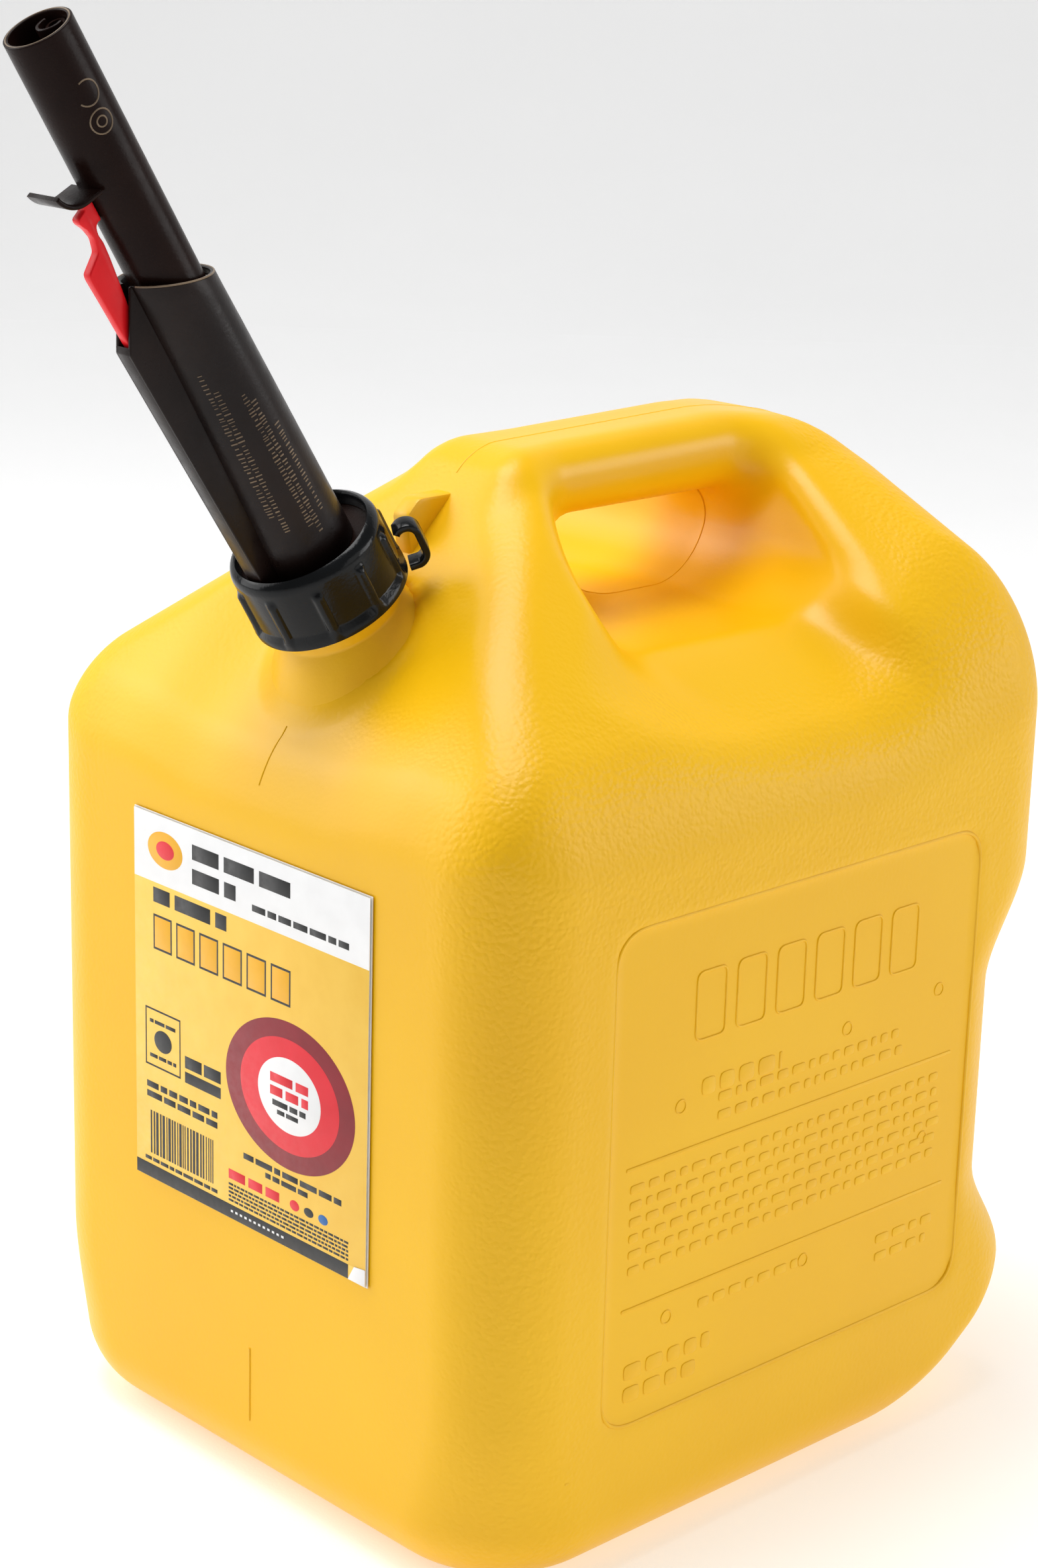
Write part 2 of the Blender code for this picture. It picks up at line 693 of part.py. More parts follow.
def build_nozzle(spout):
    """The sliding tube: piston with two O-ring grooves at its foot, pouring mouth and hook above."""
    piston = HOUSING_BORE - GAP
    groove = piston - 1.5 * MM
    piston_top = NOZZLE_BOTTOM + PISTON_LENGTH
    profile = [(NOZZLE_RADIUS - 0.5 * MM, NOZZLE_TIP), (NOZZLE_RADIUS, NOZZLE_TIP - 0.6 * MM)]
    profile += [(NOZZLE_RADIUS, piston_top + 1.2 * MM), (piston, piston_top)]
    for drop in O_RING_DROPS:
        low = piston_top - drop
        high = low + 2.6 * MM
        profile += [(piston, high), (groove, high), (groove, low), (piston, low)]
    profile += [(piston, NOZZLE_BOTTOM), (NOZZLE_BORE, NOZZLE_BOTTOM), (NOZZLE_BORE, NOZZLE_TIP)]
    nozzle = turned("nozzle_tube", profile, 36, parent=spout)
    foot = [(10.4, 173.4), (16.4, 173.6)]
    lift = arc((16.4, 182.6), 9.0, -80, -12, 6)
    outline = ribbon(mm_points(foot + lift), 1.6 * MM)
    hook = flat_piece("nozzle_hook", outline, 16.0 * MM, MIDDLE_PLANE, CUTTERS, spout)
    combine(nozzle, hook, "UNION")
    finish(nozzle, "spout_black")
    for name, drop in zip(("piston_o_ring_upper", "piston_o_ring_lower"), O_RING_DROPS):
        seal_ring(name, piston - 0.85 * MM, 0.55 * MM, piston_top - drop + 1.3 * MM, spout)
    vent_centre = NOZZLE_BORE - 3.6 * MM
    vent_low = NOZZLE_BOTTOM + 22.0 * MM
    vent_high = NOZZLE_TIP - 3.0 * MM
    vent = [(3.2 * MM, vent_high), (3.2 * MM, vent_low), (2.3 * MM, vent_low), (2.3 * MM, vent_high)]
    tube = turned("air_vent_tube", vent, 20, parent=spout)
    tube.location = (0, vent_centre, 0)
    finish(tube, "spout_black")


def build_valve(spout):
    """The stem that the nozzle carries, the poppet on its end and the poppet's seal."""
    stem_radius = 2.2 * MM
    stem = rod("valve_stem", stem_radius, -9.0 * MM, NOZZLE_BOTTOM + 18.0 * MM, 16, parent=spout)
    fins = bmesh.new()
    for i in range(3):
        bmesh.ops.create_cube(
            fins,
            size=1,
            matrix=Matrix.Rotation(2 * math.pi * (i + 0.25) / 3, 4, "Z")
            @ Matrix.Translation(((NOZZLE_BORE - GAP) / 2, 0, NOZZLE_BOTTOM + 9.0 * MM))
            @ Matrix.Diagonal((NOZZLE_BORE - GAP, 1.6 * MM, 14.0 * MM, 1)),
        )
    spider = mesh_object("stem_fins", fins, CUTTERS, spout)
    combine(stem, spider, "UNION")
    stem.modifiers["union"].use_self = True
    finish(stem, "natural_plastic")
    socket = stem_radius + GAP
    poppet = [
        (8.8 * MM, -5.2 * MM),
        (8.8 * MM, -7.6 * MM),
        (12.0 * MM, -7.9 * MM),
        (12.0 * MM, -10.0 * MM),
        (7.0 * MM, -13.0 * MM),
        (socket, -13.0 * MM),
        (socket, -5.2 * MM),
    ]
    finish(turned("valve_poppet", poppet, 24, parent=spout), "natural_plastic")
    seal_ring("poppet_seal", 10.4 * MM, 1.1 * MM, -6.5 * MM, spout)


def build_return_spring(spout):
    """A compression coil between the washer and the nozzle's piston."""
    wire = 0.8 * MM
    low = HOUSING_BOTTOM + 1.2 * MM + GAP + wire
    high = NOZZLE_BOTTOM - GAP - wire
    turns = 6
    steps = 10
    curve = bpy.data.curves.new("return_spring", "CURVE")
    curve.dimensions = "3D"
    curve.bevel_depth = wire
    curve.bevel_resolution = 1
    curve.use_fill_caps = True
    spline = curve.splines.new("POLY")
    count = turns * steps + 1
    spline.points.add(count - 1)
    for i, point in enumerate(spline.points):
        angle = 2 * math.pi * i / steps
        height = low + (high - low) * i / (count - 1)
        point.co = (11.2 * MM * math.cos(angle), 11.2 * MM * math.sin(angle), height, 1)
    coil = link(bpy.data.objects.new("return_spring", curve), PARTS, spout)
    finish(as_mesh(coil, PARTS, spout), "spring_steel")


# ---------------------------------------------------------------- latch


def build_latch(spout):
    """The flat red latch: fixed end under the hook, thumb step, barb and a leg down the channel."""
    outer = [(15.0, 172.3), (15.4, 169.2), (19.0, 168.2), (19.4, 166.8), (17.8, 163.4)]
    outer += [(17.0, 159.6), (18.2, 155.2), (24.6, 151.4), (25.0, 149.6)]
    outer += [(24.6, 141.0), (24.2, 130.0), (23.5, 112.0)]
    inner = [(20.6, 110.6), (18.0, 131.0), (16.9, 139.0), (15.2, 152.0), (14.8, 157.0)]
    inner += [(15.2, 160.0), (14.6, 162.4), (13.2, 163.4), (11.8, 163.2), (11.8, 172.3)]
    latch = flat_piece(
        "safety_latch", mm_points(outer + inner), LATCH_THICKNESS, MIDDLE_PLANE, parent=spout
    )
    finish(latch, "latch_red")


# ---------------------------------------------------------------- label


def build_label():
    """A two-ply booklet label on the front face."""
    ply = 0.30 * MM
    half_width = 0.225 * DEPTH
    low = 0.362 * DEPTH
    high = 0.853 * DEPTH
    face = -HALF_DEPTH * DEPTH - GAP
    for name, front, margin in (("label_base_ply", face, 0), ("label_leaf", face - ply - GAP, 0.5 * MM)):
        plate = box(
            name,
            (-half_width + margin, front - ply, low + margin),
            (half_width - margin, front, high - margin),
        )
        finish(plate, "label_film")


def main():
    spout = link(bpy.data.objects.new("spout_axis", None))
    spout.location = SPOUT_ORIGIN
    spout.rotation_euler = (SPOUT_TILT, 0, 0)
    bpy.context.view_layer.update()
    build_tank(spout)
    build_label()
    build_arrester(spout)
    build_collar(spout)
    build_lock_tab(spout)
    build_spout_base(spout)
    build_housing(spout)
    build_nozzle(spout)
    build_valve(spout)
    build_return_spring(spout)
    build_latch(spout)


main()
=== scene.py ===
"""The looks of the 20 litre fuel can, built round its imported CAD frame.

Metres, +Z up, the label face towards -Y. The tank's skin is one rounded form given by a formula, finely
sampled. The collar, housing, nozzle and latch are built in the spout's own frame, which the frame's collar
joint gives: heights run along the spout axis, and local -Y is the side with the latch.
"""

import json
import math
import random

import bmesh
import bpy
import numpy as np
from mathutils import Matrix, Vector


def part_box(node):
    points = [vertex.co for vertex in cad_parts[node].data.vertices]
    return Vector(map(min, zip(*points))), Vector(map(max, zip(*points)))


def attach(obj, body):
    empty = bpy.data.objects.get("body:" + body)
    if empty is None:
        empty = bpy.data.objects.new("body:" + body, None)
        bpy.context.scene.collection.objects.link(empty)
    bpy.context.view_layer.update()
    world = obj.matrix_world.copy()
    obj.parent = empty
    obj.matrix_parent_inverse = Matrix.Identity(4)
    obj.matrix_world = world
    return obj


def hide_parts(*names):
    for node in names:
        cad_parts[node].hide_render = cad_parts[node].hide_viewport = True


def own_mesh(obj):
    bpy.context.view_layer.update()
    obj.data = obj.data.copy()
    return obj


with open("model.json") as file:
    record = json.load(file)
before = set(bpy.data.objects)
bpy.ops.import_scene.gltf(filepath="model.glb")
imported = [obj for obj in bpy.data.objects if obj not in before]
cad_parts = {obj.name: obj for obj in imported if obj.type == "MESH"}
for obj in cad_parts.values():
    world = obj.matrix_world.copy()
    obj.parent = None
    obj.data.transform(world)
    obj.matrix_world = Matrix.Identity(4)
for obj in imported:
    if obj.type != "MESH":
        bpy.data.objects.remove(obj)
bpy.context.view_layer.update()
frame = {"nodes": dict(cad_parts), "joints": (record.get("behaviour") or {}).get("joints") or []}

MM = 0.001
JOINTS = {joint["name"]: joint for joint in frame["joints"]}

# Tank: sizes in the formula are shares of its depth, front to back.
DEPTH = 0.285
HALF_WIDTH = 0.4455
HALF_DEPTH = 0.5
RECESS_DEPTH = 0.0667
FRONT_CORNER = 0.116
FRONT_CORNER_GROWTH = 0.056
REAR_CORNER = 0.118
BASE_EDGE = 0.089
HANDLE_HALF_WIDTH = 0.083
HANDLE_UNDERSIDE = 1.2065
HOLLOW_FLOOR = 1.077
SKIN_CELL = 2.6 * MM
SKIN_INSET = 0.15 * MM
PANEL_CENTRE = (0.0035, 0.509)
PANEL_HALF_SIZE = (0.3265, 0.317)
PANEL_CORNER = 0.035
PANEL_DEPTH = 0.0034
PARTING_BEAD = 0.4 * MM

# Spout: its frame, and radii and heights along its axis.
SPOUT_ORIGIN = Vector(JOINTS["collar_turn"]["pos_m"])
SPOUT_AXIS = Vector(JOINTS["collar_turn"]["axis"]).normalized()
SPOUT_TILT = math.atan2(-SPOUT_AXIS.y, SPOUT_AXIS.z)
SPOUT = Matrix.Translation(SPOUT_ORIGIN) @ Matrix.Rotation(SPOUT_TILT, 4, "X")
NECK_RADIUS = 22.0 * MM
NECK_BORE = 18.0 * MM
NECK_TOP = 14.0 * MM
THREAD_PITCH = 6.0 * MM
CONE_TOP = -7.5 * MM
CONE_FOOT = -31.3 * MM
CONE_FOOT_RADIUS = 39.0 * MM
SKIN_CONE_TOP = -17.0 * MM
SKIN_CONE_BOTTOM = -45.0 * MM
SKIN_CONE_FILLET = 5.0 * MM
WELL_RADIUS = 24.0 * MM
WELL_FLOOR = -60.0 * MM
COLLAR_RADIUS = 27.0 * MM
COLLAR_RIM_RADIUS = 28.2 * MM
COLLAR_TOP = 27.0 * MM
COLLAR_RIBS = 10
RIB_HALF_WIDTH = 1.8 * MM
RIB_HEIGHT = 1.3 * MM
LOCK_TAB_ANGLE = math.radians(52)
LOCK_TAB_WIDTH = 7.0 * MM
HOUSING_BOTTOM = 21.4 * MM
HOUSING_BOTTOM_RADIUS = 17.0 * MM
HOUSING_TOP = 133.6 * MM
HOUSING_TOP_RADIUS = 14.8 * MM
HOUSING_BORE = 13.2 * MM
HOUSING_RIM_SLANT = 0.45
RIM_PEAK = 15.0 * MM
CHANNEL_WIDTH = 7.0 * MM
CHANNEL_TOP = 126.0 * MM
LATCH_SLOT_WIDTH = 4.9 * MM
LATCH_THICKNESS = 3.8 * MM
NOZZLE_RADIUS = 11.4 * MM
NOZZLE_BORE = 9.7 * MM
NOZZLE_BOTTOM = 68.0 * MM
NOZZLE_TIP = 224.05 * MM
PISTON_TOP = 84.0 * MM
O_RING_DROPS = (5.0 * MM, 11.0 * MM)
SPRING_RADIUS = 11.2 * MM
SPRING_WIRE = 0.8 * MM
SPRING_BOTTOM = 23.7 * MM
SPRING_TOP = 66.9 * MM
SPRING_TURNS = 6
SPRING_STEPS = 24

# Label: its front ply's face and its edges.
LABEL_LOW, LABEL_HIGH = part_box("label_leaf")

# These turn a plate's outline into the can's middle plane: across is towards the front, and up is +Z for
# the first and along the spout for the second.
MIDDLE_PLANE = Matrix(((0, 0, -1, 0), (-1, 0, 0, 0), (0, 1, 0, 0), (0, 0, 0, 1)))
SPOUT_PLANE = SPOUT @ MIDDLE_PLANE

# The photograph's viewpoint, and the point that the lights look at.
CAMERA_AZIMUTH = math.radians(46.27)
CAMERA_ELEVATION = math.radians(17.09)
CAMERA_ROLL = math.radians(1.56)
CAMERA_PLACE = (0.8175, -0.7994, 0.5898)
CAMERA_LENS = 74.57
LIGHT_TARGET = (0, 0, 0.2)


# ---- materials


def shader_of(name, roughness, metallic=0.0):
    """A new Principled material: (material, its nodes, its links, its shader)."""
    material = bpy.data.materials.new(name)
    material.use_nodes = True
    nodes = material.node_tree.nodes
    shader = nodes["Principled BSDF"]
    shader.inputs["Roughness"].default_value = roughness
    shader.inputs["Metallic"].default_value = metallic
    return material, nodes, material.node_tree.links, shader


def noise(nodes, links, place, scale, detail=3.0):
    texture = nodes.new("ShaderNodeTexNoise")
    texture.inputs["Scale"].default_value = scale
    texture.inputs["Detail"].default_value = detail
    links.new(place, texture.inputs["Vector"])
    return texture.outputs["Fac"]


def mapped(nodes, links, value, low, high, start=0.3, end=0.7):
    """The value's range from start to end, stretched to run from low to high."""
    spread = nodes.new("ShaderNodeMapRange")
    spread.inputs["From Min"].default_value = start
    spread.inputs["From Max"].default_value = end
    spread.inputs["To Min"].default_value = low
    spread.inputs["To Max"].default_value = high
    links.new(value, spread.inputs["Value"])
    return spread.outputs["Result"]


def colour_between(nodes, links, value, first, second):
    ramp = nodes.new("ShaderNodeValToRGB")
    ramp.color_ramp.elements[0].position = 0.3
    ramp.color_ramp.elements[0].color = (*first, 1)
    ramp.color_ramp.elements[1].position = 0.7
    ramp.color_ramp.elements[1].color = (*second, 1)
    links.new(value, ramp.inputs["Fac"])
    return ramp.outputs["Color"]


def product(nodes, links, first, second):
    times = nodes.new("ShaderNodeMath")
    times.operation = "MULTIPLY"
    links.new(first, times.inputs[0])
    links.new(second, times.inputs[1])
    return times.outputs["Value"]


def add_bump(nodes, links, shader, height, distance, before=None):
    bump = nodes.new("ShaderNodeBump")
    bump.inputs["Distance"].default_value = distance
    links.new(height, bump.inputs["Height"])
    if before is not None:
        links.new(before, bump.inputs["Normal"])
    links.new(bump.outputs["Normal"], shader.inputs["Normal"])
    return bump.outputs["Normal"]


def plastic(
    name, first, second, roughness, patch=40.0, grain=900.0, depth=0.05 * MM, metallic=0.0, shine=0.5
):
    """A surface whose colour drifts between two shades, with uneven gloss and a fine grain."""
    material, nodes, links, shader = shader_of(name, roughness, metallic)
    shader.inputs["Specular IOR Level"].default_value = shine
    place = nodes.new("ShaderNodeTexCoord").outputs["Object"]
    drift = noise(nodes, links, place, patch)
    links.new(colour_between(nodes, links, drift, first, second), shader.inputs["Base Color"])
    wear = noise(nodes, links, place, patch * 5, 4.0)
    uneven = mapped(nodes, links, wear, roughness * 0.82, roughness * 1.2)
    links.new(uneven, shader.inputs["Roughness"])
    add_bump(nodes, links, shader, noise(nodes, links, place, grain, 2.0), depth)
    return material


def tank_plastic():
    """Blow-moulded polyethylene with a satin gloss, and leather grain where the grain attribute says."""
    material, nodes, links, shader = shader_of("tank_yellow", 0.42)
    place = nodes.new("ShaderNodeTexCoord").outputs["Object"]
    drift = noise(nodes, links, place, 7.0, 3.0)
    colour = colour_between(nodes, links, drift, (0.88, 0.475, 0.002), (0.93, 0.530, 0.003))
    links.new(colour, shader.inputs["Base Color"])
    shader.inputs["Specular IOR Level"].default_value = 0.34
    shader.inputs["Subsurface Weight"].default_value = 0.02
    shader.inputs["Subsurface Radius"].default_value = (0.006, 0.003, 0.0006)
    mask = nodes.new("ShaderNodeAttribute")
    mask.attribute_name = "grain"
    amount = mask.outputs["Fac"]
    links.new(mapped(nodes, links, amount, 0.33, 0.46, 0.0, 1.0), shader.inputs["Roughness"])
    wander = noise(nodes, links, place, 200.0, 2.0).node
    bent = nodes.new("ShaderNodeMix")
    bent.data_type = "VECTOR"
    bent.inputs["Factor"].default_value = 0.0018
    links.new(place, bent.inputs["A"])
    links.new(wander.outputs["Color"], bent.inputs["B"])
    cells = nodes.new("ShaderNodeTexVoronoi")
    cells.feature = "SMOOTH_F1"
    cells.inputs["Scale"].default_value = 520.0
    cells.inputs["Smoothness"].default_value = 0.5
    links.new(bent.outputs["Result"], cells.inputs["Vector"])
    pebbles = mapped(nodes, links, cells.outputs["Distance"], 1.0, 0.0, 0.1, 0.8)
    height = product(nodes, links, pebbles, amount)
    leather = add_bump(nodes, links, shader, height, 0.20 * MM)
    add_bump(nodes, links, shader, noise(nodes, links, place, 700.0, 2.0), 0.04 * MM, leather)
    return material


def make_materials():
    made = {"tank": tank_plastic()}
    surfaces = {
        "relief": ("tank_relief", (0.87, 0.47, 0.002), (0.92, 0.52, 0.003), 0.38, 0.38, 0),
        "spout": ("spout_black", (0.008, 0.0034, 0.0028), (0.016, 0.007, 0.005), 0.27, 0.08, 0),
        "housing": ("housing_black", (0.007, 0.0035, 0.003), (0.014, 0.0075, 0.006), 0.32, 0.17, 0),
        # Pale bronze on the raised marks and edges of the black parts is a painted highlight that stands for
        # the glints they catch. The raised relief itself is real.
        "marks": ("marks_painted_highlight", (0.12, 0.083, 0.052), (0.23, 0.165, 0.105), 0.34, 0.3, 0),
        "collar": ("collar_black", (0.003, 0.0035, 0.004), (0.007, 0.008, 0.009), 0.17, 0.20, 0),
        "latch": ("latch_red", (0.70, 0.006, 0.010), (0.82, 0.012, 0.018), 0.34, 0.2, 0),
        "rubber": ("seal_rubber", (0.018, 0.018, 0.020), (0.030, 0.030, 0.032), 0.62, 0.5, 0),
        "natural": ("natural_plastic", (0.58, 0.56, 0.50), (0.68, 0.66, 0.60), 0.42, 0.5, 0),
        "spring": ("spring_steel", (0.50, 0.51, 0.53), (0.60, 0.61, 0.63), 0.26, 0.5, 1),
        "screen": ("screen_steel", (0.42, 0.43, 0.44), (0.54, 0.55, 0.56), 0.38, 0.5, 1),
    }
    for key, (name, first, second, roughness, shine, metallic) in surfaces.items():
        made[key] = plastic(name, first, second, roughness, metallic=metallic, shine=shine)
    film = {
        "film": ((0.80, 0.79, 0.75), (0.86, 0.85, 0.82)),
        "print_white": ((0.86, 0.86, 0.86), (0.91, 0.91, 0.91)),
        "print_yellow": ((0.93, 0.56, 0.065), (0.97, 0.61, 0.085)),
        "print_black": ((0.010, 0.010, 0.010), (0.018, 0.018, 0.018)),
        "print_red": ((0.74, 0.008, 0.020), (0.80, 0.014, 0.030)),
        "print_dark_red": ((0.22, 0.003, 0.010), (0.27, 0.005, 0.014)),
        "print_amber": ((0.86, 0.42, 0.006), (0.92, 0.47, 0.010)),
        "print_blue": ((0.010, 0.11, 0.36), (0.016, 0.14, 0.42)),
    }
    for name, (first, second) in film.items():
        made[name] = plastic(name, first, second, 0.40, 90.0, 1500.0, 0.01 * MM)
    made["floor"] = plastic("floor", (0.84, 0.84, 0.84), (0.87, 0.87, 0.87), 0.70, 2.0, shine=0.1)
    glow = made["floor"].node_tree.nodes["Principled BSDF"].inputs
    glow["Emission Color"].default_value = (1, 1, 1, 1)
    glow["Emission Strength"].default_value = 0.38
    return made


MATERIALS = make_materials()


# ---- building blocks


def dress(mesh, material, smooth_angle):
    """One material for the mesh, and smooth shading but for edges sharper than the angle."""
    mesh.materials.clear()
    mesh.materials.append(MATERIALS[material])
    mesh.shade_smooth()
    mesh.set_sharp_from_angle(angle=math.radians(smooth_angle))


def add_object(name, mesh, material, smooth_angle):
    dress(mesh, material, smooth_angle)
    obj = bpy.data.objects.new(name, mesh)
    bpy.context.scene.collection.objects.link(obj)
    return obj


def piece(name, mesh, material, body, smooth_angle=38, replaced=None):
    """A visible piece that rides on a body and, where asked, takes the place of a CAD node."""
    obj = add_object(name, mesh, material, smooth_angle)
    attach(obj, body)
    if replaced:
        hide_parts(replaced)
    return obj


def welded(name, points, faces):
    """A mesh from lists of points and faces, welded and facing out."""
    mesh = bpy.data.meshes.new(name)
    mesh.from_pydata(points, [], faces)
    shape = bmesh.new()
    shape.from_mesh(mesh)
    bmesh.ops.remove_doubles(shape, verts=shape.verts, dist=1e-7)
    bmesh.ops.recalc_face_normals(shape, faces=shape.faces)
    shape.to_mesh(mesh)
    shape.free()
    return mesh


def rounded(outline, radius, count=4):
    """The closed outline with each corner turned into a short curve."""
    made = []
    for i, corner in enumerate(outline):
        here = Vector(corner)
        before = Vector(outline[i - 1]) - here
        after = Vector(outline[(i + 1) % len(outline)]) - here
        start = here + before.normalized() * min(radius, before.length * 0.45)
        end = here + after.normalized() * min(radius, after.length * 0.45)
        for k in range(count + 1):
            t = k / count
            made.append(tuple(start * (1 - t) ** 2 + here * 2 * t * (1 - t) + end * t**2))
    return made


def split_long(outline, longest):
    """The closed outline with points added along its long edges."""
    made = []
    for i, here in enumerate(outline):
        after = outline[(i + 1) % len(outline)]
        parts = max(1, math.ceil(math.dist(here, after) / longest))
        made += [tuple(Vector(here).lerp(Vector(after), k / parts)) for k in range(parts)]
    return made


def arc(centre, radius, start, end, count):
    """Points of an arc in degrees, both ends included."""
    points = []
    for i in range(count):
        angle = math.radians(start + (end - start) * i / (count - 1))
        points.append((centre[0] + radius * math.cos(angle), centre[1] + radius * math.sin(angle)))
    return points


def mm_points(points):
    return [(across * MM, up * MM) for across, up in points]


def turned(name, profile, steps, reshape=None):
    """A ring about the spout axis from a closed profile of (radius, height)."""
    points = []
    for i in range(steps):
        angle = 2 * math.pi * i / steps
        for radius, height in profile:
            if reshape:
                radius, height = reshape(radius, height, angle)
            points.append((radius * math.cos(angle), radius * math.sin(angle), height))
    faces = grid_faces(steps, len(profile))
    mesh = welded(name, points, faces)
    mesh.transform(SPOUT)
    return mesh


def round_spout(radius, angle, height):
    """A place in the world, from its radius, angle and height about the spout axis."""
    return SPOUT @ Vector((radius * math.cos(angle), radius * math.sin(angle), height))


def grid_faces(rows, columns):
    """Faces of a grid that closes on itself both ways."""
    faces = []
    for i in range(rows):
        for j in range(columns):
            k = (j + 1) % columns
            low = i * columns
            high = (i + 1) % rows * columns
            faces.append((low + j, low + k, high + k, high + j))
    return faces


def plate(name, outline, thickness, matrix, edge):
    """A plate cut to a closed outline, its rims rounded by edge, centred on its middle plane."""
    flat = [Vector(point) for point in outline]
    area = sum(flat[i - 1].cross(point) for i, point in enumerate(flat))
    turn = 1 if area > 0 else -1
    inward = []
    for i, here in enumerate(flat):
        along = (flat[(i + 1) % len(flat)] - flat[i - 1]).normalized()
        inward.append(Vector((-along.y, along.x)) * turn)
    rims = [(edge * (1 - math.sin(a)), edge * (1 - math.cos(a))) for a in (0, math.pi / 4, math.pi / 2)]
    layers = [(inset, thickness / 2 - drop) for inset, drop in rims]
    layers += [(inset, -height) for inset, height in reversed(layers)]
    points = []
    for inset, height in layers:
        points += [(*(here + push * inset), height) for here, push in zip(flat, inward)]
    count = len(flat)
    faces = grid_faces(len(layers), count)[:-count]
    faces.append(tuple(range(count)))
    faces.append(tuple(range((len(layers) - 1) * count, len(layers) * count)))
    mesh = welded(name, points, faces)
    mesh.transform(matrix)
    return mesh


def ribbon(path, thickness):
    """The outline of a band of even thickness along a path of (across, up) points."""
    left = []
    right = []
    for i, (across, up) in enumerate(path):
        before = path[max(i - 1, 0)]
        after = path[min(i + 1, len(path) - 1)]
        length = math.dist(before, after)
        normal = ((before[1] - after[1]) / length, (after[0] - before[0]) / length)
        left.append((across + normal[0] * thickness / 2, up + normal[1] * thickness / 2))
        right.append((across - normal[0] * thickness / 2, up - normal[1] * thickness / 2))
    return left + right[::-1]


def evaluated_mesh(helper):
    """The mesh that an object comes to with its bevel or modifiers; the object itself is removed."""
    graph = bpy.context.evaluated_depsgraph_get()
    mesh = bpy.data.meshes.new_from_object(helper.evaluated_get(graph))
    bpy.data.objects.remove(helper, do_unlink=True)
    return mesh


def tube_mesh(name, path, radius, closed=False):
    """A round bead along a path of points in space, made by Blender's curve bevel."""
    curve = bpy.data.curves.new(name, "CURVE")
    curve.dimensions = "3D"
    curve.bevel_depth = radius
    curve.bevel_resolution = 2
    curve.use_fill_caps = True
    spline = curve.splines.new("POLY")
    spline.points.add(len(path) - 1)
    for point, place in zip(spline.points, path):
        point.co = (*place, 1)
    spline.use_cyclic_u = closed
    helper = bpy.data.objects.new(name, curve)
    bpy.context.scene.collection.objects.link(helper)
    mesh = evaluated_mesh(helper)
    bpy.data.curves.remove(curve)
    return mesh


def joined(name, meshes):
    """One mesh that holds all the given ones."""
    shape = bmesh.new()
    for mesh in meshes:
        shape.from_mesh(mesh)
        bpy.data.meshes.remove(mesh)
    made = bpy.data.meshes.new(name)
    shape.to_mesh(made)
    shape.free()
    return made


def cut_away(mesh, cutter):
    """The mesh less the closed shape of the other; both are used up."""
    helpers = [bpy.data.objects.new(part.name, part) for part in (mesh, cutter)]
    for helper in helpers:
        bpy.context.scene.collection.objects.link(helper)
    cut = helpers[0].modifiers.new("cut", "BOOLEAN")
    cut.operation = "DIFFERENCE"
    cut.solver = "EXACT"
    cut.object = helpers[1]
    made = evaluated_mesh(helpers[0])
    bpy.data.objects.remove(helpers[1], do_unlink=True)
    bpy.data.meshes.remove(mesh)
    bpy.data.meshes.remove(cutter)
    return made


# ---- tank form


def round_max(a, b, radius):
    """The overlap of two half-spaces, given as distances, with its edge rounded."""
    return np.minimum(np.maximum(a, b), -radius) + np.hypot(
        np.maximum(a + radius, 0), np.maximum(b + radius, 0)
    )


def round_min(a, b, radius):
    """The union of two shapes, given as distances, with the corner between them filled."""
    return -round_max(-a, -b, radius)


def blend(value, start, end):
    """A smooth step from 0 at start to 1 at end."""
    t = np.clip((value - start) / (end - start), 0, 1)
    return t * t * (3 - 2 * t)


def slope(rise, run, steepness):
    """Distance above a plane that rises by steepness for each unit of run."""
    return (rise - steepness * run) / math.sqrt(1 + steepness**2)


def panel_share(y, z):
    """1 inside the side panel, 0 outside it, for places in shares of the depth."""
    out_y = np.abs(y - PANEL_CENTRE[0]) - PANEL_HALF_SIZE[0] + PANEL_CORNER
    out_z = np.abs(z - PANEL_CENTRE[1]) - PANEL_HALF_SIZE[1] + PANEL_CORNER
    outside = np.hypot(np.maximum(out_y, 0), np.maximum(out_z, 0))
    edge = outside + np.minimum(np.maximum(out_y, out_z), 0) - PANEL_CORNER
    return blend(edge, 0.005, -0.006)


def tank_walls(across, y, z):
    """The upright walls: front corners that widen towards the base, and a grip recess low at the rear."""
    recess = RECESS_DEPTH * blend(z, 0.757, 0.598) * blend(z, 0.188, 0.339)
    side = across - HALF_WIDTH + PANEL_DEPTH * panel_share(y, z)
    corner = FRONT_CORNER + FRONT_CORNER_GROWTH * blend(z, 0.246, 0)
    front = round_max(side, -HALF_DEPTH - y, corner)
    return round_max(front, y - HALF_DEPTH + recess, REAR_CORNER)


def side_slopes(across, y, z):
    """The roof's two side slopes, which are fuller at the rear, and the share of that fullness."""
    rear_share = blend(y, 0.120, 0.419)
    steepness = 0.836 - 0.390 * rear_share
    rise = z - 0.975 - 0.150 * rear_share
    side = (rise - steepness * (HALF_WIDTH - across)) / np.sqrt(1 + steepness**2)
    return side, rear_share


def tank_top(across, y, z):
    """The front slope, dished where the neck stands, the handle's ridge and the rear slope."""
    dish = 0.022 * (1 - blend(across, 0.10, 0.26))
    front = slope(z - 1.014 + dish, y + 0.446, 1.044)
    ridge = slope(z - 1.3026, y, 0.0215)
    rear = slope(z - 1.330, y - 0.288, -0.417)
    return round_max(round_max(front, ridge, 0.025), rear, 0.053)


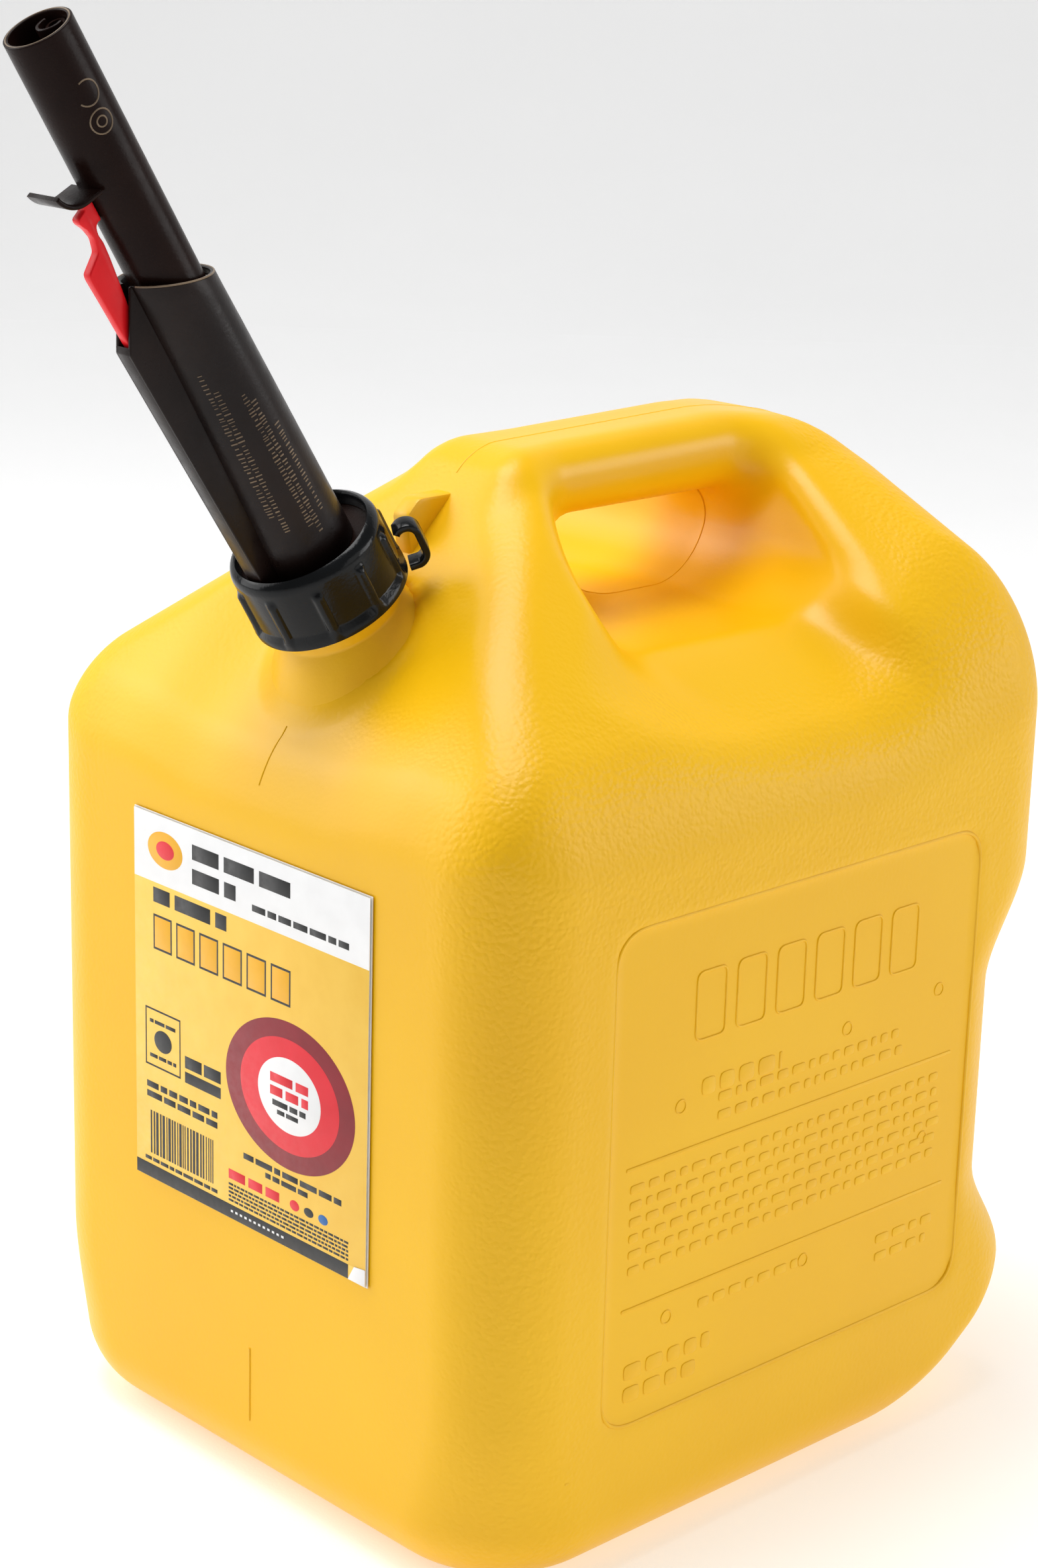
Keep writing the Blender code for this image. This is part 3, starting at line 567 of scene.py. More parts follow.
def hand_hollow(across, y, z):
    """Two scoops that meet in the middle, negative inside, and how far the floor outreaches the end walls."""
    floor = HOLLOW_FLOOR - z
    swing = across - 0.235
    front = (-0.161 + 2.7 * swing**2 - y) / np.sqrt(1 + (5.4 * swing) ** 2)
    rear = slope(y + 0.08 * across - 0.264, z - 1.15, 0.15)
    ends = np.maximum(front, rear)
    return round_max(floor, ends, 0.08), floor - ends


def handle_bar(across, y, z):
    """The handle below the ridge: it has no top of its own, and its ends lie inside the body."""
    section = round_max(across - HANDLE_HALF_WIDTH, HANDLE_UNDERSIDE - z, 0.046)
    return np.maximum(section, np.abs(y - 0.08) - 0.27)


def tank_distance(x, y, z):
    """Signed distance, near enough, to the tank's outer face, in shares of the depth."""
    across = np.sqrt(x * x + 2e-5)
    side, rear_share = side_slopes(across, y, z)
    body = round_max(tank_walls(across, y, z), side, 0.069 + 0.099 * rear_share)
    body = round_max(body, -0.0015 - z, BASE_EDGE)
    body = round_max(body, slope(-z, 0.267 - y, 0.694), 0.052)
    hollow, floor_lead = hand_hollow(across, y, z)
    fading = 0.22 + 0.10 * blend(y, -0.05, 0.15)
    end_rim = 0.028 + 0.12 * blend(across, fading, fading + 0.12)
    floor_rim = 0.03 + 0.12 * blend(across, 0.15, 0.38)
    rim = end_rim + (floor_rim - end_rim) * blend(floor_lead, -0.05, 0.05)
    body = round_max(body, -hollow, rim)
    body = round_min(body, handle_bar(across, y, z), 0.025 + 0.035 * blend(y, 0, 0.2))
    return round_max(body, tank_top(across, y, z), 0.044)


def spout_place(x, y, z):
    """Distance from the spout axis, and height along it."""
    rise = (y - SPOUT_ORIGIN.y) * SPOUT_AXIS.y + (z - SPOUT_ORIGIN.z) * SPOUT_AXIS.z
    back = (y - SPOUT_ORIGIN.y) * SPOUT_AXIS.z - (z - SPOUT_ORIGIN.z) * SPOUT_AXIS.y
    return np.hypot(x, back), rise


def skin_distance(x, y, z):
    """Signed distance, in metres, to the visible skin: the tank, the neck's cone and the well inside it."""
    body = tank_distance(x / DEPTH, y / DEPTH, z / DEPTH) * DEPTH + SKIN_INSET
    radius, rise = spout_place(x, y, z)
    spread = (CONE_FOOT_RADIUS - NECK_RADIUS) / (CONE_TOP - CONE_FOOT)
    cone = (radius - NECK_RADIUS - spread * (CONE_TOP - rise)) / math.sqrt(1 + spread**2) + 0.3 * MM
    cone = np.maximum(cone, rise - SKIN_CONE_TOP)
    body = round_min(body, np.maximum(cone, SKIN_CONE_BOTTOM - rise), SKIN_CONE_FILLET)
    return np.maximum(body, -np.maximum(radius - WELL_RADIUS, WELL_FLOOR - rise))


def sampled_surface(field, low, high, cell):
    """(points, faces) of the closed surface where a field is zero, one point to each cell that it crosses."""
    axes = [np.arange(a, b + cell, cell) for a, b in zip(low, high)]
    value = field(*np.meshgrid(*axes, indexing="ij"))
    inside = value < 0
    cells = tuple(n - 1 for n in value.shape)
    total = np.zeros((*cells, 3))
    crossings = np.zeros(cells)
    for axis in range(3):
        others = [a for a in range(3) if a != axis]
        for shift in ((0, 0), (0, 1), (1, 0), (1, 1)):
            begin = [slice(0, n) for n in cells]
            for other, offset in zip(others, shift):
                begin[other] = slice(offset, cells[other] + offset)
            end = list(begin)
            end[axis] = slice(1, cells[axis] + 1)
            first = value[tuple(begin)]
            second = value[tuple(end)]
            crossed = (first < 0) != (second < 0)
            share = np.where(crossed, first / np.where(crossed, first - second, 1), 0)
            total[..., axis] += share
            for other, offset in zip(others, shift):
                total[..., other] += crossed * offset
            crossings += crossed
    used = crossings > 0
    number = np.full(cells, -1)
    number[used] = np.arange(used.sum())
    place = np.argwhere(used) + total[used] / crossings[used][:, None]
    points = np.array(low) + place * cell
    faces = []
    for axis in range(3):
        one, two = [a for a in range(3) if a != axis]
        step = np.eye(3, dtype=int)
        begin = np.take(inside, range(cells[axis]), axis)
        end = np.take(inside, range(1, cells[axis] + 1), axis)
        corner = np.argwhere(begin != end)
        leaving = begin[tuple(corner.T)]
        ring = []
        for a, b in ((0, 0), (1, 0), (1, 1), (0, 1)):
            ring.append(number[tuple((corner - a * step[one] - b * step[two]).T)])
        quads = np.stack(ring, axis=1)
        turn = leaving if axis != 1 else ~leaving
        quads[~turn] = quads[~turn][:, ::-1]
        faces.append(quads)
    return points, np.concatenate(faces)


def drawn_onto(field, points):
    """The points moved onto the zero of the field, each by no more than its own steepest line allows."""
    here = field(*points.T)
    tiny = 0.05 * MM
    reach = 0.5 * MM
    rises = [field(*(points + step).T) - field(*(points - step).T) for step in np.eye(3) * tiny]
    steep = np.stack(rises, axis=1) / (2 * tiny)
    size = np.maximum((steep**2).sum(axis=1), 0.2)
    move = np.clip(here / size, -reach, reach)
    return points - steep * move[:, None]


def grain_amount(points):
    """How strong the leather grain is at each point: strongest on the shoulders, none where a hand holds."""
    x, y, z = (points / DEPTH).T
    across = np.abs(x)
    hollow = hand_hollow(across, y, z)[0]
    open_air = blend(hollow, 0.01, 0.07)
    shoulder = blend(across, 0.27, 0.40) * blend(z, 0.70, 0.86)
    rear = blend(y, 0.20, 0.36) * blend(z, 0.80, 0.95)
    corner = blend(across, 0.30, 0.42) * blend(np.abs(y), 0.30, 0.38)
    front = 1 - blend(y, -0.44, -0.40)
    strong = np.maximum(np.maximum(shoulder, rear), 0.62 * corner)
    amount = 0.22 + 0.78 * strong
    amount *= 1 - 0.80 * panel_share(y, z) * (across > 0.40)
    amount *= 1 - 0.45 * front * (1 - blend(across, 0.22, 0.34))
    amount *= blend(z, 0.005, 0.05)
    return amount * open_air


def build_skin():
    low = (-0.50 * DEPTH, -0.54 * DEPTH, -0.04 * DEPTH)
    high = (0.50 * DEPTH, 0.54 * DEPTH, 1.36 * DEPTH)
    points, faces = sampled_surface(skin_distance, low, high, SKIN_CELL)
    radius, rise = spout_place(*points.T)
    on_tank = (radius > WELL_RADIUS + 6 * MM) | (rise < WELL_FLOOR - 6 * MM)
    points[on_tank] = drawn_onto(skin_distance, points[on_tank])
    points[:, 2] = np.maximum(points[:, 2], 0)
    mesh = bpy.data.meshes.new("tank_skin")
    mesh.from_pydata(points.tolist(), [], faces.tolist())
    grain = mesh.attributes.new("grain", "FLOAT", "POINT")
    grain.data.foreach_set("value", grain_amount(points).astype(np.float32))
    piece("tank_skin", mesh, "tank", "tank", 60, "tank_body")


# ---- details of the tank


def build_neck():
    """The neck's wall, and one and a half turns of its thread."""
    profile = [(NECK_RADIUS, NECK_TOP), (NECK_RADIUS, CONE_TOP), (CONE_FOOT_RADIUS, CONE_FOOT)]
    profile += [(CONE_FOOT_RADIUS - 3 * MM, CONE_FOOT), (WELL_RADIUS + MM, -20.0 * MM)]
    profile += [(20.2 * MM, -20.0 * MM), (NECK_BORE, -16.0 * MM), (NECK_BORE, NECK_TOP)]
    neck = turned("neck", rounded(profile, 0.8 * MM), 96)
    piece("neck", neck, "relief", "tank")
    helix = []
    steps = 48
    for i in range(steps * 3 // 2 + 1):
        height = 1.5 * MM + THREAD_PITCH * i / steps
        helix.append(round_spout(NECK_RADIUS + 0.2 * MM, 2 * math.pi * i / steps, height))
    piece("neck_thread", tube_mesh("neck_thread", helix, 1.4 * MM), "relief", "tank")


def build_fin():
    """The gusset behind the neck that the lock tab catches on."""
    share = ((-0.185, 1.248), (-0.252, 1.248), (-0.272, 1.228), (-0.262, 1.165), (-0.20, 1.20))
    outline = rounded([(-y * DEPTH, z * DEPTH) for y, z in share], 2.0 * MM)
    fin = plate("ratchet_fin", outline, 8.0 * MM, MIDDLE_PLANE, 1.0 * MM)
    piece("ratchet_fin", fin, "relief", "tank")


def middle_crossings(centre, angles, inward):
    """Points (y, z) of the skin in the plane x = 0, seen from a centre: the first met going in or out."""
    reach = np.linspace(0, 0.95 * DEPTH, 900)
    if inward:
        reach = reach[::-1]
    middle_y, middle_z = centre[0] * DEPTH, centre[1] * DEPTH
    found = []
    for angle in angles:
        y = middle_y + reach * math.sin(angle)
        z = middle_z + reach * math.cos(angle)
        value = skin_distance(np.zeros_like(y), y, z)
        met = np.argmax(value < 0)
        share = value[met - 1] / (value[met - 1] - value[met])
        along = reach[met - 1] + share * (reach[met] - reach[met - 1])
        found.append((middle_y + along * math.sin(angle), middle_z + along * math.cos(angle)))
    return found


def build_parting_line():
    """The thin flash left where the two halves of the mould meet, on the can's middle plane."""
    sunk = 0.22 * MM
    beads = []
    outside = middle_crossings((0.0, 0.60), np.linspace(-1.45, 1.15, 220), True)
    hole = middle_crossings((0.13, 1.145), np.linspace(-math.pi, math.pi, 120, endpoint=False), False)
    runs = [[]]
    for y, z in outside:
        radius, rise = spout_place(0, y, z)
        in_fin = -0.275 < y / DEPTH < -0.185
        on_neck = radius < 38 * MM and rise > CONE_FOOT
        if on_neck or in_fin or z < 0.93 * DEPTH or y > 0.47 * DEPTH:
            runs.append([])
        else:
            runs[-1].append((0, y, z))
    for run in runs:
        if len(run) > 3:
            beads.append(tube_mesh("parting", run, PARTING_BEAD))
    beads.append(tube_mesh("parting", [(0, y, z) for y, z in hole], PARTING_BEAD, closed=True))
    low = [(0, y, z) for y, z in middle_crossings((0.0, 0.60), np.linspace(-2.36, -2.25, 12), True)]
    beads.append(tube_mesh("parting", low, 0.45 * MM))
    mesh = joined("parting_line", beads)
    mesh.transform(Matrix.Translation((0, 0, -sunk)))
    piece("parting_line", mesh, "relief", "tank", 60)


def relief_bars(side, rows, x_face, draw):
    """Raised bars on a side panel, in the places of its moulded markings."""
    shortest = 0.004
    gap = 0.008
    upright = Matrix(((0, 0, side, side * x_face), (1, 0, 0, 0), (0, 1, 0, 0), (0, 0, 0, 1)))
    meshes = []
    for y_low, y_high, z_mid, height, dash in rows:
        y = y_low
        while y < y_high - shortest:
            length = y_high - y if dash == 0 else min(y_high - y, dash * draw.uniform(0.6, 1.5))
            outline = bar(y, y + length, z_mid - height / 2, z_mid + height / 2)
            outline = [(a * DEPTH, b * DEPTH) for a, b in outline]
            radius = min(height, length) * DEPTH * 0.3
            meshes.append(plate("bar", rounded(outline, radius, 2), 0.6 * MM, upright, 0.25 * MM))
            y += length + gap
    return meshes


def panel_edges():
    """The side panel's left, right, low and high edges, in metres."""
    middle_y, middle_z = PANEL_CENTRE
    half_y, half_z = PANEL_HALF_SIZE
    edges = (middle_y - half_y, middle_y + half_y, middle_z - half_z, middle_z + half_z)
    return [edge * DEPTH for edge in edges]


def build_panels():
    """Plain rows of raised bars, two rules and small round marks on each side panel."""
    draw = random.Random(5)
    rows = [(-0.17, -0.03, 0.600, 0.022, 0.020)]
    rows += [(-0.14, 0.20, 0.580 - 0.024 * i, 0.012, 0.016) for i in range(2)]
    rows += [(-0.293, 0.297, 0.527, 0.0045, 0), (-0.293, 0.297, 0.345, 0.0045, 0)]
    rows += [(-0.285, 0.285, 0.500 - 0.021 * i, 0.011, 0.016) for i in range(6)]
    rows += [(-0.16, 0.02, 0.315, 0.012, 0.016), (-0.285, -0.13, 0.262, 0.020, 0.020)]
    rows += [(-0.285, -0.15, 0.232, 0.020, 0.020), (0.17, 0.28, 0.30, 0.012, 0.02)]
    rows += [(0.17, 0.27, 0.275, 0.012, 0.02)]
    low_rule = [(-0.38, 0.36, 0.150, 0.0035, 0)]
    marks = [(-0.205, 0.585), (0.09, 0.610), (0.265, 0.62), (-0.215, 0.315), (0.03, 0.315), (0.25, 0.42)]
    x_face = (HALF_WIDTH - PANEL_DEPTH) * DEPTH - SKIN_INSET
    x_wall = HALF_WIDTH * DEPTH - SKIN_INSET - 0.38 * MM
    for side, name in ((1, "panel_relief_right"), (-1, "panel_relief_left")):

        def bead(outline, x, radius):
            return tube_mesh("bead", [(side * x, a, b) for a, b in outline], radius, closed=True)

        meshes = relief_bars(side, rows, x_face, draw)
        meshes += relief_bars(side, low_rule, x_wall, draw)
        for y, z in marks:
            meshes.append(bead(arc((y * DEPTH, z * DEPTH), 2.4 * MM, 0, 345, 24), x_face, 0.3 * MM))
        for left in (-0.185, -0.115, -0.045, 0.025, 0.095, 0.165):
            box = bar(left * DEPTH, (left + 0.05) * DEPTH, 0.662 * DEPTH, 0.748 * DEPTH)
            meshes.append(bead(rounded(box, 3.0 * MM), x_face, 0.42 * MM))
        edge = rounded(bar(*panel_edges()), 1.45 * PANEL_CORNER * DEPTH, 6)
        edge = rounded(split_long(edge, 8.0 * MM), 1.0 * MM, 1)
        meshes.append(bead(edge, x_face + 0.15 * MM, 0.75 * MM))
        piece(name, joined(name, meshes), "relief", "tank", 60)


# ---- label


def label_spot(u, v):
    """World x and z of a place on the label, given in shares of its width and height."""
    x = LABEL_LOW.x + u * (LABEL_HIGH.x - LABEL_LOW.x)
    z = LABEL_LOW.z + v * (LABEL_HIGH.z - LABEL_LOW.z)
    return x, z


def print_piece(outline, layer):
    """A film-thin plate in front of the label's leaf, from an outline in shares of the label."""
    ink = 0.03 * MM
    flat = [label_spot(u, v) for u, v in outline]
    y = LABEL_LOW.y - ink * (layer + 0.5)
    front = Matrix(((1, 0, 0, 0), (0, 0, -1, y), (0, 1, 0, 0), (0, 0, 0, 1)))
    return plate("print", flat, ink, front, 0.2 * ink)


def bar(left, right, low, high):
    """The outline of an upright rectangle."""
    return [(left, low), (right, low), (right, high), (left, high)]


def ellipse(centre, half_width, half_height, count=64):
    points = []
    for k in range(count):
        angle = 2 * math.pi * k / count
        points.append((centre[0] + half_width * math.cos(angle), centre[1] + half_height * math.sin(angle)))
    return points


def bar_code(left, right, low, high, draw):
    bars = []
    u = left
    while u < right:
        width = draw.choice((0.0045, 0.007, 0.011))
        bars.append(bar(u, u + width, low, high))
        u += width + draw.choice((0.0045, 0.007))
    return bars


def words(left, right, middle, height, draw):
    """A row of plain bars that stands where the label has a line of print."""
    bars = []
    u = left
    while u < right - height:
        width = min(right - u, draw.uniform(1.6, 4.5) * height)
        bars.append(bar(u, u + width, middle - height / 2, middle + height / 2))
        u += width + 0.55 * height
    return bars


def frame_bars(left, right, low, high, width):
    bars = [bar(left, right, low, low + width), bar(left, right, high - width, high)]
    for edge in (left, right - width):
        bars.append(bar(edge, edge + width, low + width, high - width))
    return bars


def build_label():
    """A generic printed label: bands, a roundel, a bar pattern and rows of bars, with no words or signs."""
    draw = random.Random(11)
    roundel = (0.68, 0.406)
    black = words(0.26, 0.68, 0.940, 0.040, draw) + words(0.26, 0.45, 0.876, 0.040, draw)
    black += words(0.52, 0.94, 0.858, 0.017, draw) + words(0.085, 0.41, 0.787, 0.040, draw)
    for i in range(6):
        left = 0.085 + 0.103 * i
        black += frame_bars(left, left + 0.083, 0.640, 0.735, 0.006)
    black += frame_bars(0.045, 0.205, 0.315, 0.475, 0.005) + words(0.065, 0.185, 0.440, 0.010, draw)
    black += words(0.065, 0.185, 0.345, 0.010, draw) + [ellipse((0.125, 0.393), 0.040, 0.030, 32)]
    black += [bar(0.225, 0.300, 0.352, 0.385), bar(0.310, 0.385, 0.352, 0.385)]
    black += [bar(0.225, 0.385, 0.312, 0.342)]
    black += words(0.05, 0.37, 0.262, 0.017, draw) + words(0.05, 0.37, 0.235, 0.017, draw)
    black += bar_code(0.065, 0.355, 0.070, 0.190, draw) + words(0.04, 0.37, 0.053, 0.010, draw)
    black += words(0.485, 0.90, 0.190, 0.016, draw) + words(0.58, 0.76, 0.166, 0.014, draw)
    for i in range(5):
        black += words(0.42, 0.93, 0.094 - 0.011 * i, 0.006, draw)
    black += [bar(0, 0.93, 0, 0.038), ellipse((0.765, 0.122), 0.020, 0.012, 24)]
    amber = [bar(0.091 + 0.103 * i, 0.162 + 0.103 * i, 0.646, 0.729) for i in range(6)]
    amber.append(ellipse((0.14, 0.914), 0.078, 0.048))
    red = [ellipse(roundel, 0.208, 0.149, 96), ellipse((0.14, 0.914), 0.040, 0.024, 32)]
    white = [ellipse(roundel, 0.132, 0.098)]
    white += [bar(0.43 + 0.02 * i, 0.44 + 0.02 * i, 0.018, 0.024) for i in range(12)]
    caution = words(0.42, 0.64, 0.122, 0.026, draw) + [ellipse((0.705, 0.122), 0.020, 0.014, 24)]
    lines = words(0.60, 0.76, 0.440, 0.024, draw) + words(0.60, 0.76, 0.405, 0.024, draw)
    small = words(0.61, 0.75, 0.374, 0.015, draw) + words(0.63, 0.73, 0.352, 0.012, draw)
    layers = [
        ("body", "yellow", 0, [bar(0, 1, 0.038, 0.82), bar(0.93, 1, 0.0, 0.038)]),
        ("header", "white", 0, [bar(0, 1, 0.82, 1)]),
        ("dark", "black", 1, black),
        ("amber", "amber", 1, amber),
        ("ring", "dark_red", 1, [ellipse(roundel, 0.272, 0.195, 96)]),
        ("roundel", "red", 2, red),
        ("centre", "white", 3, white),
        ("caution", "red", 1, caution),
        ("blue", "blue", 1, [ellipse((0.825, 0.122), 0.020, 0.013, 24)]),
        ("lines", "red", 4, lines),
        ("small", "black", 4, small),
    ]
    for part, colour, layer, outlines in layers:
        name = "label_print_" + part
        mesh = joined(name, [print_piece(outline, layer) for outline in outlines])
        piece(name, mesh, "print_" + colour, "tank", 60)
    corner = print_piece([(0.93, 0), (1, 0), (1, 0.045), (0.955, 0.040)], 5)
    piece("label_peel_corner", corner, "print_white", "tank", 60)


# ---- collar and lock tab


def build_collar():
    """The collar with its grip ribs, and the lock tab that stands on its rim."""
    bore = 24.9 * MM
    lip_bore = 23.4 * MM
    wall = split_long([(COLLAR_RADIUS, COLLAR_TOP - 4.5 * MM), (COLLAR_RADIUS, 3.6 * MM)], 0.9 * MM)
    shoulder = arc((COLLAR_RADIUS - 4.5 * MM, COLLAR_TOP - 4.5 * MM), 4.5 * MM, 62, 4, 7)
    rim = [(COLLAR_RIM_RADIUS, 3.1 * MM), (COLLAR_RIM_RADIUS, 0.2 * MM)]
    rim += [(COLLAR_RIM_RADIUS - 0.6 * MM, 0), (bore, 0)]
    half = wall[: len(wall) // 2]
    profile = [(lip_bore, COLLAR_TOP - 1.2 * MM), (lip_bore + 0.8 * MM, COLLAR_TOP - 0.3 * MM), *shoulder]
    profile += [*half, *rim, (bore, HOUSING_BOTTOM), (lip_bore, HOUSING_BOTTOM)]

    def ribbed(radius, height, angle):
        spacing = 2 * math.pi / COLLAR_RIBS
        off = (angle - LOCK_TAB_ANGLE - spacing / 2) % spacing
        off = min(off, spacing - off) * COLLAR_RADIUS
        crown = math.sqrt(max(0.0, 1 - (off / RIB_HALF_WIDTH) ** 2))
        ends = float(blend(height, 2.6 * MM, 4.2 * MM) * blend(height, 21.0 * MM, 18.6 * MM))
        on_wall = radius > COLLAR_RADIUS - 0.8 * MM
        return radius + (RIB_HEIGHT * crown * ends if on_wall else 0), height

    piece("collar_ring", turned("collar_ring", profile, 320, ribbed), "collar", "collar", 50, "collar")
    root = [(29.0, 0.4), (32.0, 0.1)]
    belly = arc((32.0, 4.3), 4.3, -80, 0, 14)
    crown = arc((32.4, 11.6), 3.9, 0, 140, 20)
    outline = ribbon(mm_points(root + belly + crown), 2.4 * MM)
    outward = Matrix.Rotation(LOCK_TAB_ANGLE, 4, "Z")
    upright = Matrix(((1, 0, 0, 0), (0, 0, -1, 0), (0, 1, 0, 0), (0, 0, 0, 1)))
    tab = plate("lock_tab", outline, LOCK_TAB_WIDTH, SPOUT @ outward @ upright, 0.5 * MM)
    piece("lock_tab", tab, "collar", "lock_tab", 50, "collar_lock_tab")


# ---- housing


def rim_height(across):
    """Height of the housing's slanted rim at a distance towards the front."""
    rise = HOUSING_RIM_SLANT * min(across, RIM_PEAK)
    return HOUSING_TOP + rise - 1.6 * max(0.0, across - RIM_PEAK)


def housing_radius(height):
    share = (height - HOUSING_BOTTOM) / (HOUSING_TOP - HOUSING_BOTTOM)
    return HOUSING_BOTTOM_RADIUS + share * (HOUSING_TOP_RADIUS - HOUSING_BOTTOM_RADIUS)


def channel_reach(height):
    """How far the latch channel's front face stands from the spout axis."""
    return 26.4 * MM - 0.034 * (CHANNEL_TOP - height)


def build_housing():
    """The housing's tube: its rim slants up to the front, where a slot lets the latch through."""
    profile = [(HOUSING_TOP_RADIUS, HOUSING_TOP), (HOUSING_BOTTOM_RADIUS, HOUSING_BOTTOM)]
    profile += [(HOUSING_BORE, HOUSING_BOTTOM), (HOUSING_BORE, HOUSING_TOP)]
    profile = split_long(rounded(profile, 0.7 * MM, 3), 6.0 * MM)

    def slanted(radius, height, angle):
        front = -radius * math.sin(angle)
        share = float(blend(height, 100.0 * MM, HOUSING_TOP - 2.0 * MM))
        return radius, height + (rim_height(front) - HOUSING_TOP) * share

    outline = mm_points(bar(12.0, 16.4, 106.0, 146.0))
    slot = plate("slot", outline, LATCH_SLOT_WIDTH, SPOUT_PLANE, 0.2 * MM)
    shell = cut_away(turned("housing_shell", profile, 112, slanted), slot)
    piece("housing_shell", shell, "housing", "spout_base", 50, "spout_housing")


def build_channel():
    """The rail in front that the latch's leg slides in: two cheeks, a front wall and a solid foot."""
    low = HOUSING_BOTTOM + 0.6 * MM
    groove_bottom = 84.0 * MM
    inner = 14.0 * MM
    reach_low = channel_reach(low)
    reach_top = channel_reach(CHANNEL_TOP)
    tip = (reach_top, rim_height(reach_top))
    cheek = [(inner, low), (reach_low, low), tip, (RIM_PEAK, rim_height(RIM_PEAK))]
    cheek = rounded(cheek + [(inner, rim_height(inner))], 0.5 * MM, 3)
    meshes = []
    for side in (-1, 1):
        shift = Matrix.Translation((side * 3.2 * MM, 0, 0))
        meshes.append(plate("cheek", cheek, 1.4 * MM, SPOUT @ shift @ MIDDLE_PLANE, 0.45 * MM))
    wall = 1.3 * MM
    front = [(reach_low - wall, low), (reach_low, low), tip]
    front = rounded(front + [(reach_top - wall, rim_height(reach_top - wall))], 0.3 * MM, 2)
    meshes.append(plate("front", front, CHANNEL_WIDTH, SPOUT_PLANE, 0.4 * MM))
    foot = [(inner, low), (reach_low - 0.3 * MM, low)]
    foot += [(channel_reach(groove_bottom) - 0.3 * MM, groove_bottom), (inner, groove_bottom)]
    meshes.append(plate("foot", foot, CHANNEL_WIDTH, SPOUT_PLANE, 0.3 * MM))
    piece("latch_channel", joined("latch_channel", meshes), "housing", "spout_base", 50)


def rim_highlight_bead():
    """A painted highlight: a pale bead round the housing's rim that stands for the light its edge catches,
    open in front where the latch slides.
    """
    path = []
    for across, back in arc((0, 0), HOUSING_TOP_RADIUS - 0.3 * MM, -72, 252, 60):
        path.append(SPOUT @ Vector((across, back, rim_height(-back) - 0.15 * MM)))
    return tube_mesh("rim_highlight_bead", path, 0.34 * MM)


def build_housing_marks():
    """Rows of tiny raised dashes along the housing, where it carries its moulded print, and its pale rim.
    Their pale colour is a painted highlight, the glint that the raised relief and the rim's edge catch.
    """
    draw = random.Random(3)
    upright = Matrix(((0, 0, 1, 0), (1, 0, 0, 0), (0, 1, 0, 0), (0, 0, 0, 1)))
    meshes = []
    rows = ((-48, 47.0, 104.0), (-39, 40.0, 98.0), (-12, 38.0, 92.0), (-4, 34.0, 88.0), (10, 40.0, 76.0))
    for degrees, low, high in rows:
        turn = Matrix.Rotation(math.radians(degrees), 4, "Z")
        height = low * MM
        while height < high * MM:
            length = draw.uniform(0.7, 1.3) * MM
            width = draw.uniform(1.2, 2.4) * MM
            out = turn @ Matrix.Translation((housing_radius(height), 0, height))
            dash = rounded(bar(-width / 2, width / 2, 0, length * 0.45), 0.1 * MM, 1)
            meshes.append(plate("dash", dash, 0.34 * MM, SPOUT @ out @ upright, 0.08 * MM))
            height += length + draw.uniform(0.1, 0.9) * MM
    meshes.append(rim_highlight_bead())
    piece("housing_marks", joined("housing_marks", meshes), "marks", "spout_base", 50)


# ---- nozzle and latch


def build_nozzle():
    """The nozzle's tube with its grooved piston, and the hook below its middle."""
    piston = HOUSING_BORE - 0.3 * MM
    groove = piston - 1.5 * MM
    profile = [(NOZZLE_RADIUS, NOZZLE_TIP), (NOZZLE_RADIUS, PISTON_TOP + 1.2 * MM), (piston, PISTON_TOP)]
    for drop in O_RING_DROPS:
        low = PISTON_TOP - drop
        profile += [(piston, low + 2.6 * MM), (groove, low + 2.6 * MM), (groove, low), (piston, low)]
    profile += [(piston, NOZZLE_BOTTOM), (NOZZLE_BORE, NOZZLE_BOTTOM), (NOZZLE_BORE, NOZZLE_TIP)]
    tube = turned("nozzle", rounded(profile, 0.45 * MM, 3), 96)
    piece("nozzle", tube, "spout", "nozzle", 50, "nozzle_tube")
    path = mm_points([(10.4, 173.4), (16.4, 173.6)] + arc((16.4, 182.6), 9.0, -80, -12, 14))
    hook = plate("nozzle_hook", ribbon(path, 1.6 * MM), 16.0 * MM, SPOUT_PLANE, 0.6 * MM)
    piece("nozzle_hook", hook, "spout", "nozzle", 50)


def build_mouth_wall():
    """The C-shaped wall in the mouth that parts the air channel from the fuel."""
    outline = ribbon(arc((0, 4.6 * MM), 4.2 * MM, -200, 20, 24), 1.1 * MM)
    lift = Matrix.Translation((0, 0, NOZZLE_TIP - 8.0 * MM))
    wall = plate("mouth_wall", outline, 14.0 * MM, SPOUT @ lift, 0.3 * MM)
    piece("mouth_wall", wall, "spout", "nozzle", 50)


def build_nozzle_marks():
    """Plain moulded rings below the tip, one of them open, and the pale edge of the mouth. Their pale colour
    is a painted highlight, the glint these raised edges catch.
    """
    meshes = []
    rings = ((203.0, 4.1, -150, 110, False), (193.0, 3.9, 0, 345, True), (193.0, 1.7, 0, 345, True))
    for height, size, start, end, closed in rings:
        path = []
        for across, up in arc((0, 0), size * MM, start, end, 25):
            angle = math.radians(-6) + across / NOZZLE_RADIUS
            path.append(round_spout(NOZZLE_RADIUS, angle, height * MM + up))
        meshes.append(tube_mesh("ring", path, 0.28 * MM, closed))
    # The mouth's edge as a pale bead: a painted highlight.
    lip = [round_spout(10.55 * MM, math.radians(6 * i), NOZZLE_TIP - 0.1 * MM) for i in range(60)]
    meshes.append(tube_mesh("lip", lip, 0.3 * MM, closed=True))
    piece("nozzle_marks", joined("nozzle_marks", meshes), "marks", "nozzle", 60)


